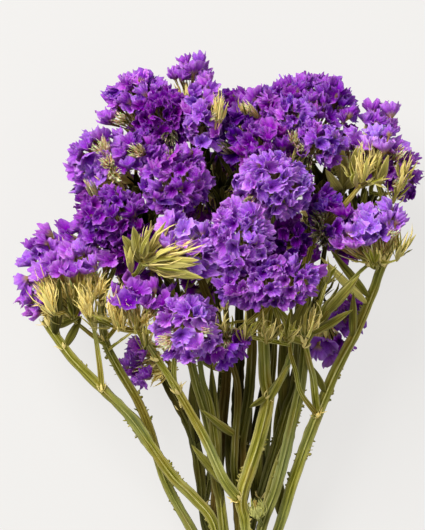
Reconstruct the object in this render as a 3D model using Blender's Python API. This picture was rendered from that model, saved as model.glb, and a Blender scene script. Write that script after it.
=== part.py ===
"""A bunch of dried statice (sea lavender) bound with twine and lying on its side.

Twelve winged, forking stems carry domes and combs of papery purple florets, each in a crown of
pointed bracts. Bunch coordinates are millimetres: u runs across the bunch, v along it from the cut
ends to the flowers, and w from the side it lies on to its upper side. The finished pieces stand in
the row frame, in metres, with +Z up and the floor at z = 0.
"""

import math
from collections import namedtuple

import bmesh
import bpy
import numpy as np
from mathutils import Matrix, Vector

MM = 0.001

# How the bunch lies: its flowers hold the head end up, so that the stems slope down to their cut ends.
LIE_TILT = math.radians(8)
LIE_HEIGHT = 30.0
CENTRE_U = -10.94
CENTRE_V = 75.68

# The bundle at the tie, and the cut ends below it.
TIE_V = -38.0
CUT_V = -112.0
RING_RADIUS = 10.0
CORE_RADIUS = 3.6
CUT_SPREAD = 1.3
TIE_INNER_RADIUS = 13.4
STRAND_RADIUS = 1.2
TIE_TURNS = 3
TIE_SIDES = 18
TIE_REACH = 5.0

# Stems: two flat wings and a ridge, narrow in the tie, widest above it, and tapering from TAPER_V up.
WINGED_OUTLINE = ((1, 0), (0.38, 0.2), (0, 0.46), (-0.38, 0.2), (-1, 0), (0, -0.36))
TIE_WING = 2.9
SPREAD_V = 25.0
TAPER_V = 60.0
LIMB_TOP_SHARE = 0.65
STEM_RINGS = 12
LIMB_RINGS = 6
BRANCH_OUTLINE = ((1, 0), (0, 0.8), (-1, 0), (0, -0.8))
BRANCH_RADIUS = 1.7
BRANCH_END_RADIUS = 1.15
BRANCH_RINGS = 5

# Flower heads: how far out of the ellipsoid of the head each part of a floret lies.
FLORET_REACH = math.radians(86)
FLORET_AREA = 219.0
FEWEST_FLORETS = 6
CORE_SHARE = 0.5
THROAT_SHARE = 0.66
RIM_INSET = 0.16
RIM_RIPPLE = 0.09
CELL_GAP = 0.35

# Bract crowns under the heads.
CROWN_TIPS = 6
CROWN_TIP_ANGLE = math.radians(117)
CROWN_NOTCH_ANGLE = math.radians(134)
CROWN_TIP_SHARE = 0.98
CROWN_NOTCH_SHARE = 0.72
CROWN_INSIDE_SHARE = 0.68
CROWN_BASE_SHARE = 0.9
BRANCH_END_SHARE = 0.78

LEAF_THICKNESS = 1.0
LEAF_BOW = 0.06

PURPLE = (0.36, 0.10, 0.62, 1.0)
OLIVE = (0.33, 0.33, 0.10, 1.0)
TWINE = (0.52, 0.39, 0.23, 1.0)

# Each stem: its angle in the tie, from +u towards +w, half the width of its wings above the tie, the share
# of that width at its top, and where it goes to its last fork. The last three stems are the bundle's core.
Stem = namedtuple("Stem", "angle wing top route")
STEMS = {
    "stem_01": Stem(160, 3.1, 0.9, [(-14, 0, 3), (-25, 15.5, 5), (-36.5, 27, 7), (-46, 40, 9), (-60.5, 61, 13),
                                    (-77, 78, 17), (-92.5, 94, 19), (-101, 105, 19), (-109, 117, 17)]),
    "stem_02": Stem(200, 2.7, 0.8, [(-28.5, 0, -3), (-42, 25, -4), (-51, 54, -5), (-58, 71, -4), (-68, 88, -2),
                                    (-76, 105, 0), (-78, 126, 4)]),
    "stem_03": Stem(80, 3.9, 0.7, [(3, 0, 13), (0.7, 13, 16), (1.8, 22, 17), (5.4, 33, 16.5), (10.7, 50, 16.5),
                                   (15.7, 72, 18), (14, 84, 18), (13, 113, 20), (12, 136, 26)]),
    "stem_05": Stem(120, 2.7, 0.7, [(-9, 0, 10), (-11.6, 21, 9), (-14, 38, 8), (-18.4, 61, 8.5), (-25, 83, 10),
                                    (-34, 122, 16), (-40, 144, 20)]),
    "stem_07": Stem(40, 3.2, 0.7, [(12.5, 0, 8), (20, 21, 10), (26, 44, 12), (32.5, 72, 15), (34.5, 84, 16),
                                   (36.5, 105, 19), (38, 142, 22)]),
    "stem_09": Stem(0, 3.3, 0.8, [(22.5, 0, 2), (28.4, 20, 4), (36, 43, 6), (44, 64, 8), (54, 88, 9.5),
                                  (65.7, 111, 11), (74.5, 132, 12), (78.5, 144, 12), (86, 160, 8)]),
    "stem_10": Stem(240, 3.2, 0.7, [(-19, 0, -10), (-22, 25, -14), (-26, 48, -18), (-36, 70, -21),
                                    (-51, 98, -19), (-66, 138, -8)]),
    "stem_11": Stem(280, 3.6, 0.6, [(0, 0, -13), (-1, 60, -22), (0, 106, -20), (0, 142, -10)]),
    "stem_12": Stem(320, 3.3, 0.6, [(13, 0, -11), (18, 25, -17), (25, 58, -22), (36, 98, -20), (46, 136, -10)]),
    "stem_04": Stem(90, 3.2, 0.6, [(0, 0, 4), (-1, 15, 3), (0.8, 32, 2), (1, 49, 1.5), (5.6, 77, 1), (7, 111, 1),
                                   (3, 150, 4), (-1, 188, 8)]),
    "stem_06": Stem(210, 2.9, 0.7, [(-13, 0, -3), (-13, 22, -5), (-11, 43, -5.5), (-9.5, 60, -6), (-8, 99, -6),
                                    (-22, 140, -3), (-36, 188, 0)]),
    "stem_08": Stem(330, 3.2, 0.6, [(6.5, 0, -3), (12.7, 18, -1), (20.5, 44, 4), (26.6, 66, 6), (32, 84, 6),
                                    (34, 130, 1), (38, 178, 0)]),
}
CORE_STEMS = ("stem_04", "stem_06", "stem_08")

# Limbs that fork from some of the stems: the stem, half the width of the wings, and the route.
Limb = namedtuple("Limb", "stem wing route")
LIMBS = {
    "limb_01": Limb("stem_01", 1.9, [(-77, 78, 17), (-78, 91, 20), (-80, 105, 23), (-82, 116, 25)]),
    "limb_03_left": Limb("stem_03", 3.1, [(-1, 17, 17), (-9, 28, 22), (-19, 50, 27), (-34.5, 78, 35), (-47, 98, 43)]),
    "limb_03_right": Limb("stem_03", 2.3, [(15, 74, 18), (25, 88, 23), (29, 108, 29), (27, 134, 32)]),
    "limb_04": Limb("stem_04", 2.5, [(-0.8, 17, 3), (-3, 32, 6), (-2.5, 49, 7), (-1, 77, 7), (-6, 99, 7),
                                     (-8, 124, 10)]),
    "limb_05": Limb("stem_05", 1.5, [(-38, 136, 18.5), (-45, 144, 34), (-52, 148, 50), (-54, 150, 62)]),
    "limb_05_right": Limb("stem_05", 2.4, [(-14, 38, 8), (-13.5, 49, 11), (-17, 71, 12), (-21, 84, 12),
                                           (-24, 110, 11)]),
    "limb_08": Limb("stem_08", 2.4, [(12, 17, -1), (15, 42, -5), (17, 66, -7), (20, 98, -8), (20, 128, -8)]),
    "limb_09": Limb("stem_09", 2.4, [(44, 64, 8), (42.5, 72, 12), (41, 84, 17), (38, 95, 24), (35, 106, 32)]),
    "limb_09_left": Limb("stem_09", 1.6, [(43.5, 63, 8), (34, 76, 21), (31, 88, 25), (28, 98, 28), (27, 108, 34)]),
    "limb_09_right": Limb("stem_09", 1.8, [(36, 103, 30), (50, 126, 33), (63, 140, 34), (71, 148, 34)]),
    "limb_10": Limb("stem_10", 2.6, [(-20.5, 10, -11.6), (-15, 35, -16), (-12, 60, -17), (-10, 95, -17),
                                     (-12, 122, -16)]),
    "limb_11": Limb("stem_11", 2.8, [(0, 8, -14), (7, 32, -16), (9.5, 56, -17), (16, 90, -17), (18, 118, -16)]),
}

# Each head: the stem or limb that carries it, how far up that its branch leaves, its centre, its half
# sizes (long, wide, high), the way it faces, and the angle of its long side from +u in the u-v plane.
Head = namedtuple("Head", "limb at centre size facing comb")
HEADS = {
    "head_01": Head("stem_06", 0.96, (-28, 253, 2), (11, 10, 17), (0, 1, 0.15), 0),
    "head_02": Head("stem_06", 0.90, (-59, 238, -2), (20, 15, 19), (-0.45, 0.85, 0.15), 30),
    "head_03": Head("stem_06", 1.0, (-40, 229, 20), (20, 16, 17), (-0.1, 0.5, 0.85), 0),
    "head_04": Head("stem_04", 0.98, (-20, 230, 36), (22, 9.5, 14), (0.05, 0.35, 0.93), 90),
    "head_05": Head("stem_02", 1.0, (-77, 205, 10), (22, 17, 20), (-0.7, 0.5, 0.5), 70),
    "head_06": Head("stem_06", 0.98, (-55, 209, 28), (14, 12, 14), (-0.35, 0.6, 0.7), 0),
    "head_07": Head("stem_05", 1.0, (-35, 193, 48), (19, 19, 19), (-0.05, 0.35, 0.93), 20),
    "head_08": Head("stem_02", 0.95, (-71, 173, 34), (20, 17, 18), (-0.35, 0.45, 0.82), 0),
    "head_09": Head("stem_02", 0.85, (-87, 163, 18), (12, 10, 12), (-0.6, 0.6, 0.5), 0),
    "head_10": Head("stem_01", 0.88, (-108, 154, 4), (15, 11, 15), (-0.5, 0.8, 0.2), 20),
    "head_11": Head("limb_01", 1.0, (-92, 143, 34), (27, 12, 17), (-0.1, 0.85, 0.45), 0),
    "head_12": Head("stem_01", 0.98, (-112, 131, 14), (16, 11, 13), (-0.95, 0.1, 0.3), 90),
    "head_13": Head("limb_03_left", 0.98, (-55, 127, 54), (20, 11, 15), (0, 0.85, 0.5), 0),
    "head_14": Head("limb_03_left", 0.74, (-29, 113.5, 64), (18.5, 16.5, 17), (0.1, 0, 1), 90),
    "head_15": Head("stem_05", 0.98, (-28, 157, 60), (21, 15, 17), (0.6, 0.55, 0.6), -25),
    "head_16": Head("limb_05_right", 1.0, (-60, 158, 34), (14, 13, 14), (-0.2, 0.2, 0.95), 0),
    "head_17": Head("stem_03", 1.0, (0, 162, 67), (22, 17.5, 19), (0, 0.15, 1), 90),
    "head_18": Head("stem_03", 0.98, (18, 190, 58), (21, 17, 19), (0.1, 0.35, 0.93), -15),
    "head_19": Head("stem_04", 1.0, (13, 212, 44), (16, 12, 16), (0, 0.5, 0.85), 20),
    "head_20": Head("limb_04", 1.0, (-2, 218, 30), (14, 12, 15), (-0.1, 0.6, 0.8), 90),
    "head_21": Head("stem_04", 0.96, (12, 233, 12), (15, 12, 15), (0, 0.9, 0.35), 0),
    "head_22": Head("stem_08", 1.0, (40, 235, 2), (27, 17, 22), (0.15, 0.95, 0.2), -20),
    "head_23": Head("stem_08", 0.99, (29, 228, 27), (12, 11, 13), (0, 0.6, 0.8), 0),
    "head_24": Head("stem_08", 0.96, (42, 213, 36), (14, 13, 16), (0.2, 0.5, 0.85), 0),
    "head_25": Head("stem_09", 1.0, (78, 226, -2), (11, 10, 16), (0.25, 0.95, 0.1), 0),
    "head_26": Head("stem_08", 0.92, (60, 211, 14), (12, 10, 15), (-0.15, 0.95, 0.2), 0),
    "head_27": Head("stem_09", 0.98, (79, 213, 14), (10, 9, 13), (0.2, 0.95, 0.2), 0),
    "head_28": Head("stem_09", 0.92, (88, 200, 3), (17, 12, 15), (0.75, 0.3, 0.55), 90),
    "head_29": Head("limb_09_right", 1.0, (71, 163, 42), (29, 13, 18), (-0.3, 0.85, 0.45), 28),
    "head_30": Head("limb_09", 1.0, (48, 173, 42), (14, 11, 16), (0.25, 0.35, 0.9), 90),
    "head_31": Head("limb_03_right", 1.0, (25, 160, 44), (12, 11, 16), (0.2, 0, 1), 0),
    "head_32": Head("limb_09_left", 1.0, (15, 137, 66), (36, 13, 16), (0, 0.3, 0.95), 3),
    "head_33": Head("stem_03", 0.80, (-9, 104, 50), (14, 11, 13), (0.15, -0.6, 0.78), 30),
    "head_34": Head("stem_12", 0.90, (49, 104, -6), (13, 10, 14), (0.1, -0.95, 0.25), 0),
    "head_35": Head("stem_12", 0.97, (60, 121, -15), (15, 10, 14), (0.75, -0.35, 0.35), 90),
    "head_36": Head("stem_10", 0.46, (-55, 92, -10), (18, 9, 13), (-0.9, -0.15, 0.35), 90),
    "head_37": Head("stem_10", 1.0, (-76, 190, -20), (19, 17, 18), (-0.75, 0.35, -0.55), 60),
    "head_38": Head("stem_10", 0.97, (-56, 154, -36), (21, 18, 18), (-0.3, 0.1, -0.95), 0),
    "head_39": Head("stem_10", 0.93, (-92, 138, -16), (17, 14, 16), (-0.85, 0, -0.5), 60),
    "head_40": Head("limb_10", 1.0, (-16, 144, -36), (22, 18, 18), (-0.1, 0, -1), 0),
    "head_41": Head("stem_11", 0.98, (-18, 192, -37), (25, 20, 20), (-0.1, 0.1, -1), 0),
    "head_42": Head("stem_06", 0.94, (-46, 226, -30), (19, 16, 17), (-0.4, 0.75, -0.55), 0),
    "head_43": Head("limb_11", 1.0, (26, 158, -36), (21, 18, 18), (0.15, 0, -1), 0),
    "head_44": Head("limb_08", 1.0, (22, 202, -40), (22, 19, 18), (0.1, 0.15, -1), 0),
    "head_45": Head("stem_12", 0.98, (62, 168, -28), (20, 17, 17), (0.6, 0.2, -0.75), 60),
    "head_46": Head("stem_09", 0.96, (62, 208, -22), (18, 15, 16), (0.65, 0.6, -0.5), 60),
    "head_47": Head("stem_04", 0.92, (0, 232, -18), (18, 15, 17), (0, 0.85, -0.5), 0),
}

# Leaves: the limb they grow from, or the head whose branch they grow from, how far up it, where the
# tip is, and the width.
Leaf = namedtuple("Leaf", "owner at tip width")
LEAVES = [
    Leaf("limb_03_left", 0.08, (-27, 47, 20), 6),
    Leaf("stem_04", 0.26, (-22, 67, 23), 5),
    Leaf("stem_01", 0.80, (-87, 120, 25), 5),
    Leaf("stem_03", 0.52, (27, 92, 26), 4),
    Leaf("stem_03", 0.55, (5, 68, 23), 4),
    Leaf("stem_05", 0.62, (-42, 110, 18), 5),
    Leaf("limb_09_right", 0.12, (62, 123, 41), 5),
    Leaf("stem_09", 0.46, (40.5, 91, 19), 4),
    Leaf("limb_09", 0.95, (20, 112, 46), 5),
    Leaf("stem_09", 0.66, (63, 132, 24), 5),
    Leaf("stem_09", 0.80, (50, 156, 26), 5),
    Leaf("stem_09", 0.90, (64, 155, 25), 5),
    Leaf("stem_06", 0.45, (-28, 98, 2), 5),
    Leaf("limb_05", 0.80, (-64, 163, 68), 6),
    Leaf("limb_05", 0.92, (-58, 168, 72), 6),
    Leaf("limb_05", 0.96, (-50, 166, 76), 5),
    Leaf("limb_05", 0.94, (-40, 171, 80), 4),
    Leaf("limb_05", 0.96, (-29, 150, 84), 5),
    Leaf("limb_05", 0.88, (-28, 142, 80), 6),
    Leaf("limb_03_right", 0.5, (18, 118, 36), 5),
    Leaf("head_26", 0.7, (47, 200, 38), 6),
    Leaf("head_26", 0.75, (56, 214, 36), 6),
    Leaf("head_26", 0.8, (64, 212, 38), 6),
    Leaf("head_26", 0.75, (72, 206, 38), 6),
    Leaf("head_27", 0.75, (82, 208, 32), 5),
]

# A green bud low down on the front of the bundle: from its stem to its own tip.
BUD_STEM = "stem_07"
BUD_ROUTE = [(12.5, 1, 8.5), (11, 4, 13), (9.2, 9, 18), (8.5, 16, 20)]
BUD_WIDTHS = (1.3, 2.8, 4.6, 1.6)


def unit(vector):
    """The vector at length 1, as a numpy array."""
    vector = np.array(vector, float)
    return vector / np.linalg.norm(vector)


def to_row(points):
    """Bunch coordinates, in millimetres, as row coordinates in metres."""
    u, v, w = (np.array(points, float).reshape(-1, 3) - (CENTRE_U, CENTRE_V, 0)).T
    along, up = math.cos(LIE_TILT), math.sin(LIE_TILT)
    height = (v + CENTRE_V) * up + w * along + LIE_HEIGHT
    row = np.stack([u, v * along - w * up, np.where(np.abs(height) < 1e-3, 0, height)], axis=1)
    return row * MM


# ---------------------------------------------------------------- paths


def smooth_path(points, count):
    """count points at even distances along a Catmull-Rom curve through the given points."""
    knots = np.array(points, float)
    knots = np.vstack([2 * knots[0] - knots[1], knots, 2 * knots[-1] - knots[-2]])
    curve = []
    for before, start, end, after in zip(knots, knots[1:], knots[2:], knots[3:]):
        for t in np.linspace(0, 1, 12, endpoint=False):
            curve.append(
                0.5 * (2 * start + (end - before) * t + (2 * before - 5 * start + 4 * end - after) * t**2
                       + (3 * start - before - 3 * end + after) * t**3)
            )
    curve = np.array(curve + [knots[-2]])
    run = np.concatenate([[0], np.cumsum(np.linalg.norm(np.diff(curve, axis=0), axis=1))])
    wanted = np.linspace(0, run[-1], count)
    return np.stack([np.interp(wanted, run, curve[:, axis]) for axis in range(3)], axis=1)


def tie_point(stem, v, spread=1.0):
    """Where a stem's centre passes the plane at v inside the bundle."""
    angle = math.radians(STEMS[stem].angle)
    radius = (CORE_RADIUS if stem in CORE_STEMS else RING_RADIUS) * spread
    return (radius * math.cos(angle), v, radius * math.sin(angle))


def limb_path(name):
    """Points along a stem, straight from its cut end through the tie, or along a limb that forks from one."""
    if name in LIMBS:
        return smooth_path(LIMBS[name].route, LIMB_RINGS)
    cut_v = CUT_V - 4 * math.sin(2.3 * int(name[-2:]))
    below, above = [tie_point(name, TIE_V + reach) for reach in (-TIE_REACH, TIE_REACH)]
    return np.vstack([
        tie_point(name, cut_v, CUT_SPREAD), below, smooth_path([above, *STEMS[name].route], STEM_RINGS - 2)
    ])


def stem_of(name):
    """The stem that a limb, a head or the stem itself belongs to."""
    if name in HEADS:
        name = HEADS[name].limb
    return LIMBS[name].stem if name in LIMBS else name


def along(path, share, start_v=None):
    """The point at that share of a path's length, counted from where it passes start_v if that's given."""
    run = np.concatenate([[0], np.cumsum(np.linalg.norm(np.diff(path, axis=0), axis=1))])
    start = 0 if start_v is None else np.interp(start_v, path[:, 1], run)
    wanted = start + share * (run[-1] - start)
    return np.array([np.interp(wanted, run, path[:, axis]) for axis in range(3)])


def fork(name, at):
    """(point, direction) where a branch leaves: at runs over a whole limb, or a stem's part above v = 0."""
    path = limb_path(name)
    start_v = None if name in LIMBS else 0
    step = 0.02
    ahead = along(path, min(at + step, 1), start_v) - along(path, min(at, 1 - step), start_v)
    return along(path, at, start_v), unit(ahead)


# ---------------------------------------------------------------- heads in their cells


def head_frame(head):
    """Columns: the head's long, wide and facing directions in bunch coordinates."""
    facing = unit(head.facing)
    along = np.array([math.cos(math.radians(head.comb)), math.sin(math.radians(head.comb)), 0])
    along = unit(along - facing * (along @ facing))
    return np.stack([along, np.cross(facing, along), facing], axis=1)


def reach(head, direction):
    """How far the head's ellipsoid reaches from its centre along a direction."""
    return np.linalg.norm(head_frame(head).T @ direction * head.size)


def cell_planes(name):
    """Planes (normal, distance from the head's centre) that keep a head off its neighbours and the floor.

    Where two heads would overlap, the plane between them splits the overlap in the ratio of their reach."""
    head = HEADS[name]
    centre = np.array(head.centre, float)
    floor = np.array([0, -math.sin(LIE_TILT), -math.cos(LIE_TILT)])
    planes = [(floor, LIE_HEIGHT - centre @ floor)]
    for other_name, other in HEADS.items():
        if other_name == name:
            continue
        gap = np.array(other.centre, float) - centre
        distance = np.linalg.norm(gap)
        direction = gap / distance
        own, theirs = reach(head, direction), reach(other, direction)
        if own + theirs + CELL_GAP > distance:
            planes.append((direction, distance * own / (own + theirs) - CELL_GAP / 2))
    return planes


def head_point(head, planes, direction, share):
    """The point at that share of the head's ellipsoid, drawn in towards its centre to stay in its cell."""
    offset = head_frame(head) @ (np.array(direction) * head.size) * share
    scale = 1.0
    for normal, limit in planes:
        if offset @ normal > limit:
            scale = min(scale, limit / (offset @ normal))
    return np.array(head.centre) + offset * scale


def polar(angle, turn):
    """A unit direction in a head's frame, at an angle from its facing direction."""
    return np.array([math.sin(angle) * math.cos(turn), math.sin(angle) * math.sin(turn), math.cos(angle)])


def floret_directions(head):
    """(floret directions, underside directions): spread evenly over the head's ellipsoid by repulsion."""
    long, wide, high = head.size
    sides = (long * wide, long * high, wide * high)
    area = 2 * math.pi * (sum(side**1.6 for side in sides) / 3) ** (1 / 1.6)
    count = max(FEWEST_FLORETS, round(area / FLORET_AREA))
    golden = math.pi * (3 - math.sqrt(5))
    lowest = math.cos(FLORET_REACH)
    moving = np.array([
        polar(math.acos(1 - (1 - lowest) * (k + 0.5) / count), k * golden) for k in range(count)
    ])
    fixed = [polar(math.pi, 0)]
    fixed += [polar(math.radians(136), math.radians(45 + 90 * k)) for k in range(4)]
    size = np.array(head.size)
    for _ in range(60):
        places = moving * size
        others = np.vstack([places, np.array(fixed) * size])
        gaps = places[:, None] - others[None]
        far = np.linalg.norm(gaps, axis=2) + 1e-9
        push = (gaps / far[..., None] ** 4).sum(axis=1)
        push /= np.linalg.norm(push, axis=1)[:, None] + 1e-9
        moving = (places + 0.35 * push) / size
        moving /= np.linalg.norm(moving, axis=1)[:, None]
        low = moving[:, 2] < lowest
        flat = moving[low, :2] / np.linalg.norm(moving[low, :2], axis=1)[:, None]
        moving[low] = np.column_stack([flat * math.sin(FLORET_REACH), np.full(low.sum(), lowest)])
    return moving, fixed


def make_head(name):
    """One head: a cell of funnel-shaped floret for each floret direction, round a small core."""
    head, planes = HEADS[name], cell_planes(name)
    florets, underside = floret_directions(head)
    hull = bmesh.new()
    centres = [hull.verts.new(direction * head.size) for direction in [*florets, *underside]]
    bmesh.ops.convex_hull(hull, input=centres)
    bmesh.ops.recalc_face_normals(hull, faces=hull.faces)
    hull.verts.ensure_lookup_table()
    hull.faces.index_update()

    shape = bmesh.new()

    def add(direction, share):
        return shape.verts.new(to_row(head_point(head, planes, direction, share))[0])

    corners = [unit(np.array(face.calc_center_median()) / head.size) for face in hull.faces]
    valleys = [add(corner, CORE_SHARE) for corner in corners]
    floor_limit = planes[0][1]
    for number, centre in enumerate(hull.verts[:]):
        ring, loop = [], centre.link_loops[0]
        while not ring or loop != centre.link_loops[0]:
            ring.append(loop.face.index)
            loop = loop.link_loop_prev.link_loop_radial_next
        middle = unit(np.array(centre.co) / head.size)
        if number >= len(florets):
            hub = add(middle, CORE_SHARE)
            for here, after in zip(ring, ring[1:] + ring[:1]):
                shape.faces.new([hub, valleys[here], valleys[after]])
            continue
        facing_floor = head_frame(head) @ (middle * head.size) @ planes[0][0]
        pressed = facing_floor > floor_limit
        hub = add(middle, 1.0 if pressed else THROAT_SHARE)
        rims = []
        for step, corner in enumerate(ring):
            ripple = 1 + RIM_RIPPLE * math.cos(math.pi * step) * (0.7 + 0.3 * math.sin(number))
            rims.append(add(unit(corners[corner] * (1 - RIM_INSET) + middle * RIM_INSET), ripple))
        for step, corner in enumerate(ring):
            after = (step + 1) % len(ring)
            shape.faces.new([hub, rims[step], rims[after]])
            shape.faces.new([rims[step], valleys[corner], valleys[ring[after]]])
            shape.faces.new([rims[step], valleys[ring[after]], rims[after]])
    hull.free()
    bmesh.ops.recalc_face_normals(shape, faces=shape.faces)
    return add_object(name, shape, "petal")


# ---------------------------------------------------------------- green pieces


def sweep(path, outline, widths, roll=0.0, twist=0.0):
    """A closed tube along path: the outline at each point's width, turned from roll by twist."""
    shape = bmesh.new()
    count = len(path)
    tangents = [unit(path[min(i + 1, count - 1)] - path[max(i - 1, 0)]) for i in range(count)]
    side = unit(np.cross(tangents[0], (0.0, 0.3, 1.0)))
    rings = []
    for number, (point, tangent, width) in enumerate(zip(path, tangents, widths)):
        side = unit(side - tangent * (side @ tangent))
        over = np.cross(side, tangent)
        turn = roll + twist * number / (count - 1)
        cos, sin = math.cos(turn) * width, math.sin(turn) * width
        corners = [point + side * (x * cos - y * sin) + over * (x * sin + y * cos) for x, y in outline]
        rings.append([shape.verts.new(p) for p in to_row(corners)])
    for low, high in zip(rings, rings[1:]):
        for k in range(len(low)):
            after = (k + 1) % len(low)
            shape.faces.new([low[k], low[after], high[after]])
            shape.faces.new([low[k], high[after], high[k]])
    for ring, point in ((rings[0], path[0]), (rings[-1], path[-1])):
        hub = shape.verts.new(to_row(point)[0])
        for k in range(len(ring)):
            shape.faces.new([hub, ring[k], ring[(k + 1) % len(ring)]])
    bmesh.ops.recalc_face_normals(shape, faces=shape.faces)
    return shape


def make_stem(name):
    """The main run of a winged stem, from its cut end to its last fork."""
    path = limb_path(name)
    v = path[:, 1]
    widths = TIE_WING + (STEMS[name].wing - TIE_WING) * np.clip(v / SPREAD_V, 0, 1)
    widths *= 1 - (1 - STEMS[name].top) * np.clip((v - TAPER_V) / (v[-1] - TAPER_V), 0, 1)
    turn = 0.35 * math.sin(5.1 * int(name[-2:]))
    return sweep(path, WINGED_OUTLINE, widths, roll=turn, twist=-1.6 * turn)


def make_limb(name):
    """A winged limb that forks from a stem low down."""
    widths = LIMBS[name].wing * np.linspace(1, LIMB_TOP_SHARE, LIMB_RINGS)
    return sweep(limb_path(name), WINGED_OUTLINE, widths, roll=0.2, twist=0.3)


def branch_path(head):
    """Points along a curve from the fork to inside the crown under the head."""
    start, leaving = fork(head.limb, head.at)
    facing = unit(head.facing)
    end = np.array(head.centre) - facing * head.size[2] * BRANCH_END_SHARE
    span = np.linalg.norm(end - start)
    near, far = start + leaving * span * 0.35, end - facing * span * 0.35
    curve = []
    for t in np.linspace(0, 1, BRANCH_RINGS):
        curve.append(
            start * (1 - t) ** 3 + near * 3 * t * (1 - t) ** 2 + far * 3 * t**2 * (1 - t) + end * t**3
        )
    return np.array(curve)


def make_branch(name):
    """The branch that carries one head."""
    widths = np.linspace(BRANCH_RADIUS, BRANCH_END_RADIUS, BRANCH_RINGS)
    return sweep(branch_path(HEADS[name]), BRANCH_OUTLINE, widths)


def make_crown(name):
    """The crown of pointed bracts that the head sits in."""
    head, planes = HEADS[name], cell_planes(name)
    shape = bmesh.new()

    def add(direction, share):
        return shape.verts.new(to_row(head_point(head, planes, direction, share))[0])

    base = add(polar(math.pi, 0), CROWN_BASE_SHARE)
    inside = add(polar(math.pi, 0), CROWN_INSIDE_SHARE)
    ring = []
    for k in range(CROWN_TIPS):
        turn = 2 * math.pi * k / CROWN_TIPS
        ring.append(add(polar(CROWN_TIP_ANGLE, turn), CROWN_TIP_SHARE))
        ring.append(add(polar(CROWN_NOTCH_ANGLE, turn + math.pi / CROWN_TIPS), CROWN_NOTCH_SHARE))
    for here, after in zip(ring, ring[1:] + ring[:1]):
        shape.faces.new([base, here, after])
        shape.faces.new([inside, here, after])
    bmesh.ops.recalc_face_normals(shape, faces=shape.faces)
    return shape


def make_leaf(leaf):
    """A lance-shaped leaf, ridged along its middle and bowed, whose base is sunk in its limb or branch."""
    if leaf.owner in HEADS:
        base = along(branch_path(HEADS[leaf.owner]), leaf.at)
    else:
        base, _ = fork(leaf.owner, leaf.at)
    run = np.array(leaf.tip) - base
    length, lean = np.linalg.norm(run), unit(run)
    side = unit(np.cross(lean, (0, 0, 1.0)))
    over = np.cross(side, lean)
    shape = bmesh.new()
    rings = []
    for share, broad in ((0.25, 0.65), (0.55, 1.0), (0.82, 0.5)):
        middle = base + run * share + over * length * LEAF_BOW * math.sin(math.pi * share)
        half, deep = leaf.width / 2 * broad, LEAF_THICKNESS / 2 * max(broad, 0.8)
        outline = [middle + side * half, middle + over * deep, middle - side * half, middle - over * deep]
        rings.append([shape.verts.new(p) for p in to_row(outline)])
    foot = shape.verts.new(to_row(base)[0])
    tip = shape.verts.new(to_row(leaf.tip)[0])
    for k in range(4):
        after = (k + 1) % 4
        shape.faces.new([foot, rings[0][k], rings[0][after]])
        shape.faces.new([tip, rings[-1][k], rings[-1][after]])
        for low, high in zip(rings, rings[1:]):
            shape.faces.new([low[k], low[after], high[after]])
            shape.faces.new([low[k], high[after], high[k]])
    bmesh.ops.recalc_face_normals(shape, faces=shape.faces)
    return shape


def make_bud():
    """The small unopened head low on the front of the bundle."""
    hexagon = [(math.cos(math.pi * k / 3), math.sin(math.pi * k / 3)) for k in range(6)]
    return sweep(np.array(BUD_ROUTE, float), hexagon, BUD_WIDTHS)


def make_leafy_stem(stem):
    """One stem with its limbs, branches, crowns and leaves, joined in one solid."""
    repeats = bpy.data.collections.new(stem + "_repeats")
    bpy.context.scene.collection.children.link(repeats)
    growths = [make_limb(name) for name in LIMBS if stem_of(name) == stem]
    for name in HEADS:
        if stem_of(name) == stem:
            growths += [make_branch(name), make_crown(name)]
    growths += [make_leaf(leaf) for leaf in LEAVES if stem_of(leaf.owner) == stem]
    if stem == BUD_STEM:
        growths.append(make_bud())
    for number, growth in enumerate(growths):
        add_object(f"{stem}_growth_{number}", growth, "leaf", repeats)
    body = add_object("leafy_" + stem, make_stem(stem), "leaf")
    join = body.modifiers.new("join", "BOOLEAN")
    join.operand_type = "COLLECTION"
    join.collection = repeats
    join.operation = "UNION"
    join.solver = "MANIFOLD"
    bpy.context.view_layer.update()
    evaluated = body.evaluated_get(bpy.context.evaluated_depsgraph_get())
    joined = bpy.data.meshes.new_from_object(evaluated)
    body.modifiers.clear()
    body.data = joined
    for growth in list(repeats.objects):
        bpy.data.objects.remove(growth)
    bpy.data.collections.remove(repeats)
    return body


def make_tie():
    """Turns of twine side by side round the bundle, joined into one ring."""
    half = TIE_TURNS * STRAND_RADIUS
    profile = [(TIE_INNER_RADIUS, half), (TIE_INNER_RADIUS, -half)]
    for turn in range(TIE_TURNS):
        low = -half + 2 * STRAND_RADIUS * turn
        profile.append((TIE_INNER_RADIUS + 2 * STRAND_RADIUS, low + 0.55 * STRAND_RADIUS))
        profile.append((TIE_INNER_RADIUS + 2 * STRAND_RADIUS, low + 1.45 * STRAND_RADIUS))
        if turn < TIE_TURNS - 1:
            profile.append((TIE_INNER_RADIUS + 1.3 * STRAND_RADIUS, low + 2 * STRAND_RADIUS))
    shape = bmesh.new()
    rings = []
    for step in range(TIE_SIDES):
        angle = 2 * math.pi * step / TIE_SIDES
        outline = [(r * math.cos(angle), TIE_V + v, r * math.sin(angle)) for r, v in profile]
        rings.append([shape.verts.new(p) for p in to_row(outline)])
    for low, high in zip(rings, rings[1:] + rings[:1]):
        for k in range(len(profile)):
            after = (k + 1) % len(profile)
            shape.faces.new([low[k], low[after], high[after], high[k]])
    bmesh.ops.recalc_face_normals(shape, faces=shape.faces)
    return add_object("twine_tie", shape, "twine")


# ---------------------------------------------------------------- objects


def make_material(name, colour, roughness):
    material = bpy.data.materials.new(name)
    material.use_nodes = True
    shader = material.node_tree.nodes["Principled BSDF"]
    shader.inputs["Base Color"].default_value = colour
    shader.inputs["Roughness"].default_value = roughness
    shader.inputs["Metallic"].default_value = 0.0
    return material


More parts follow.
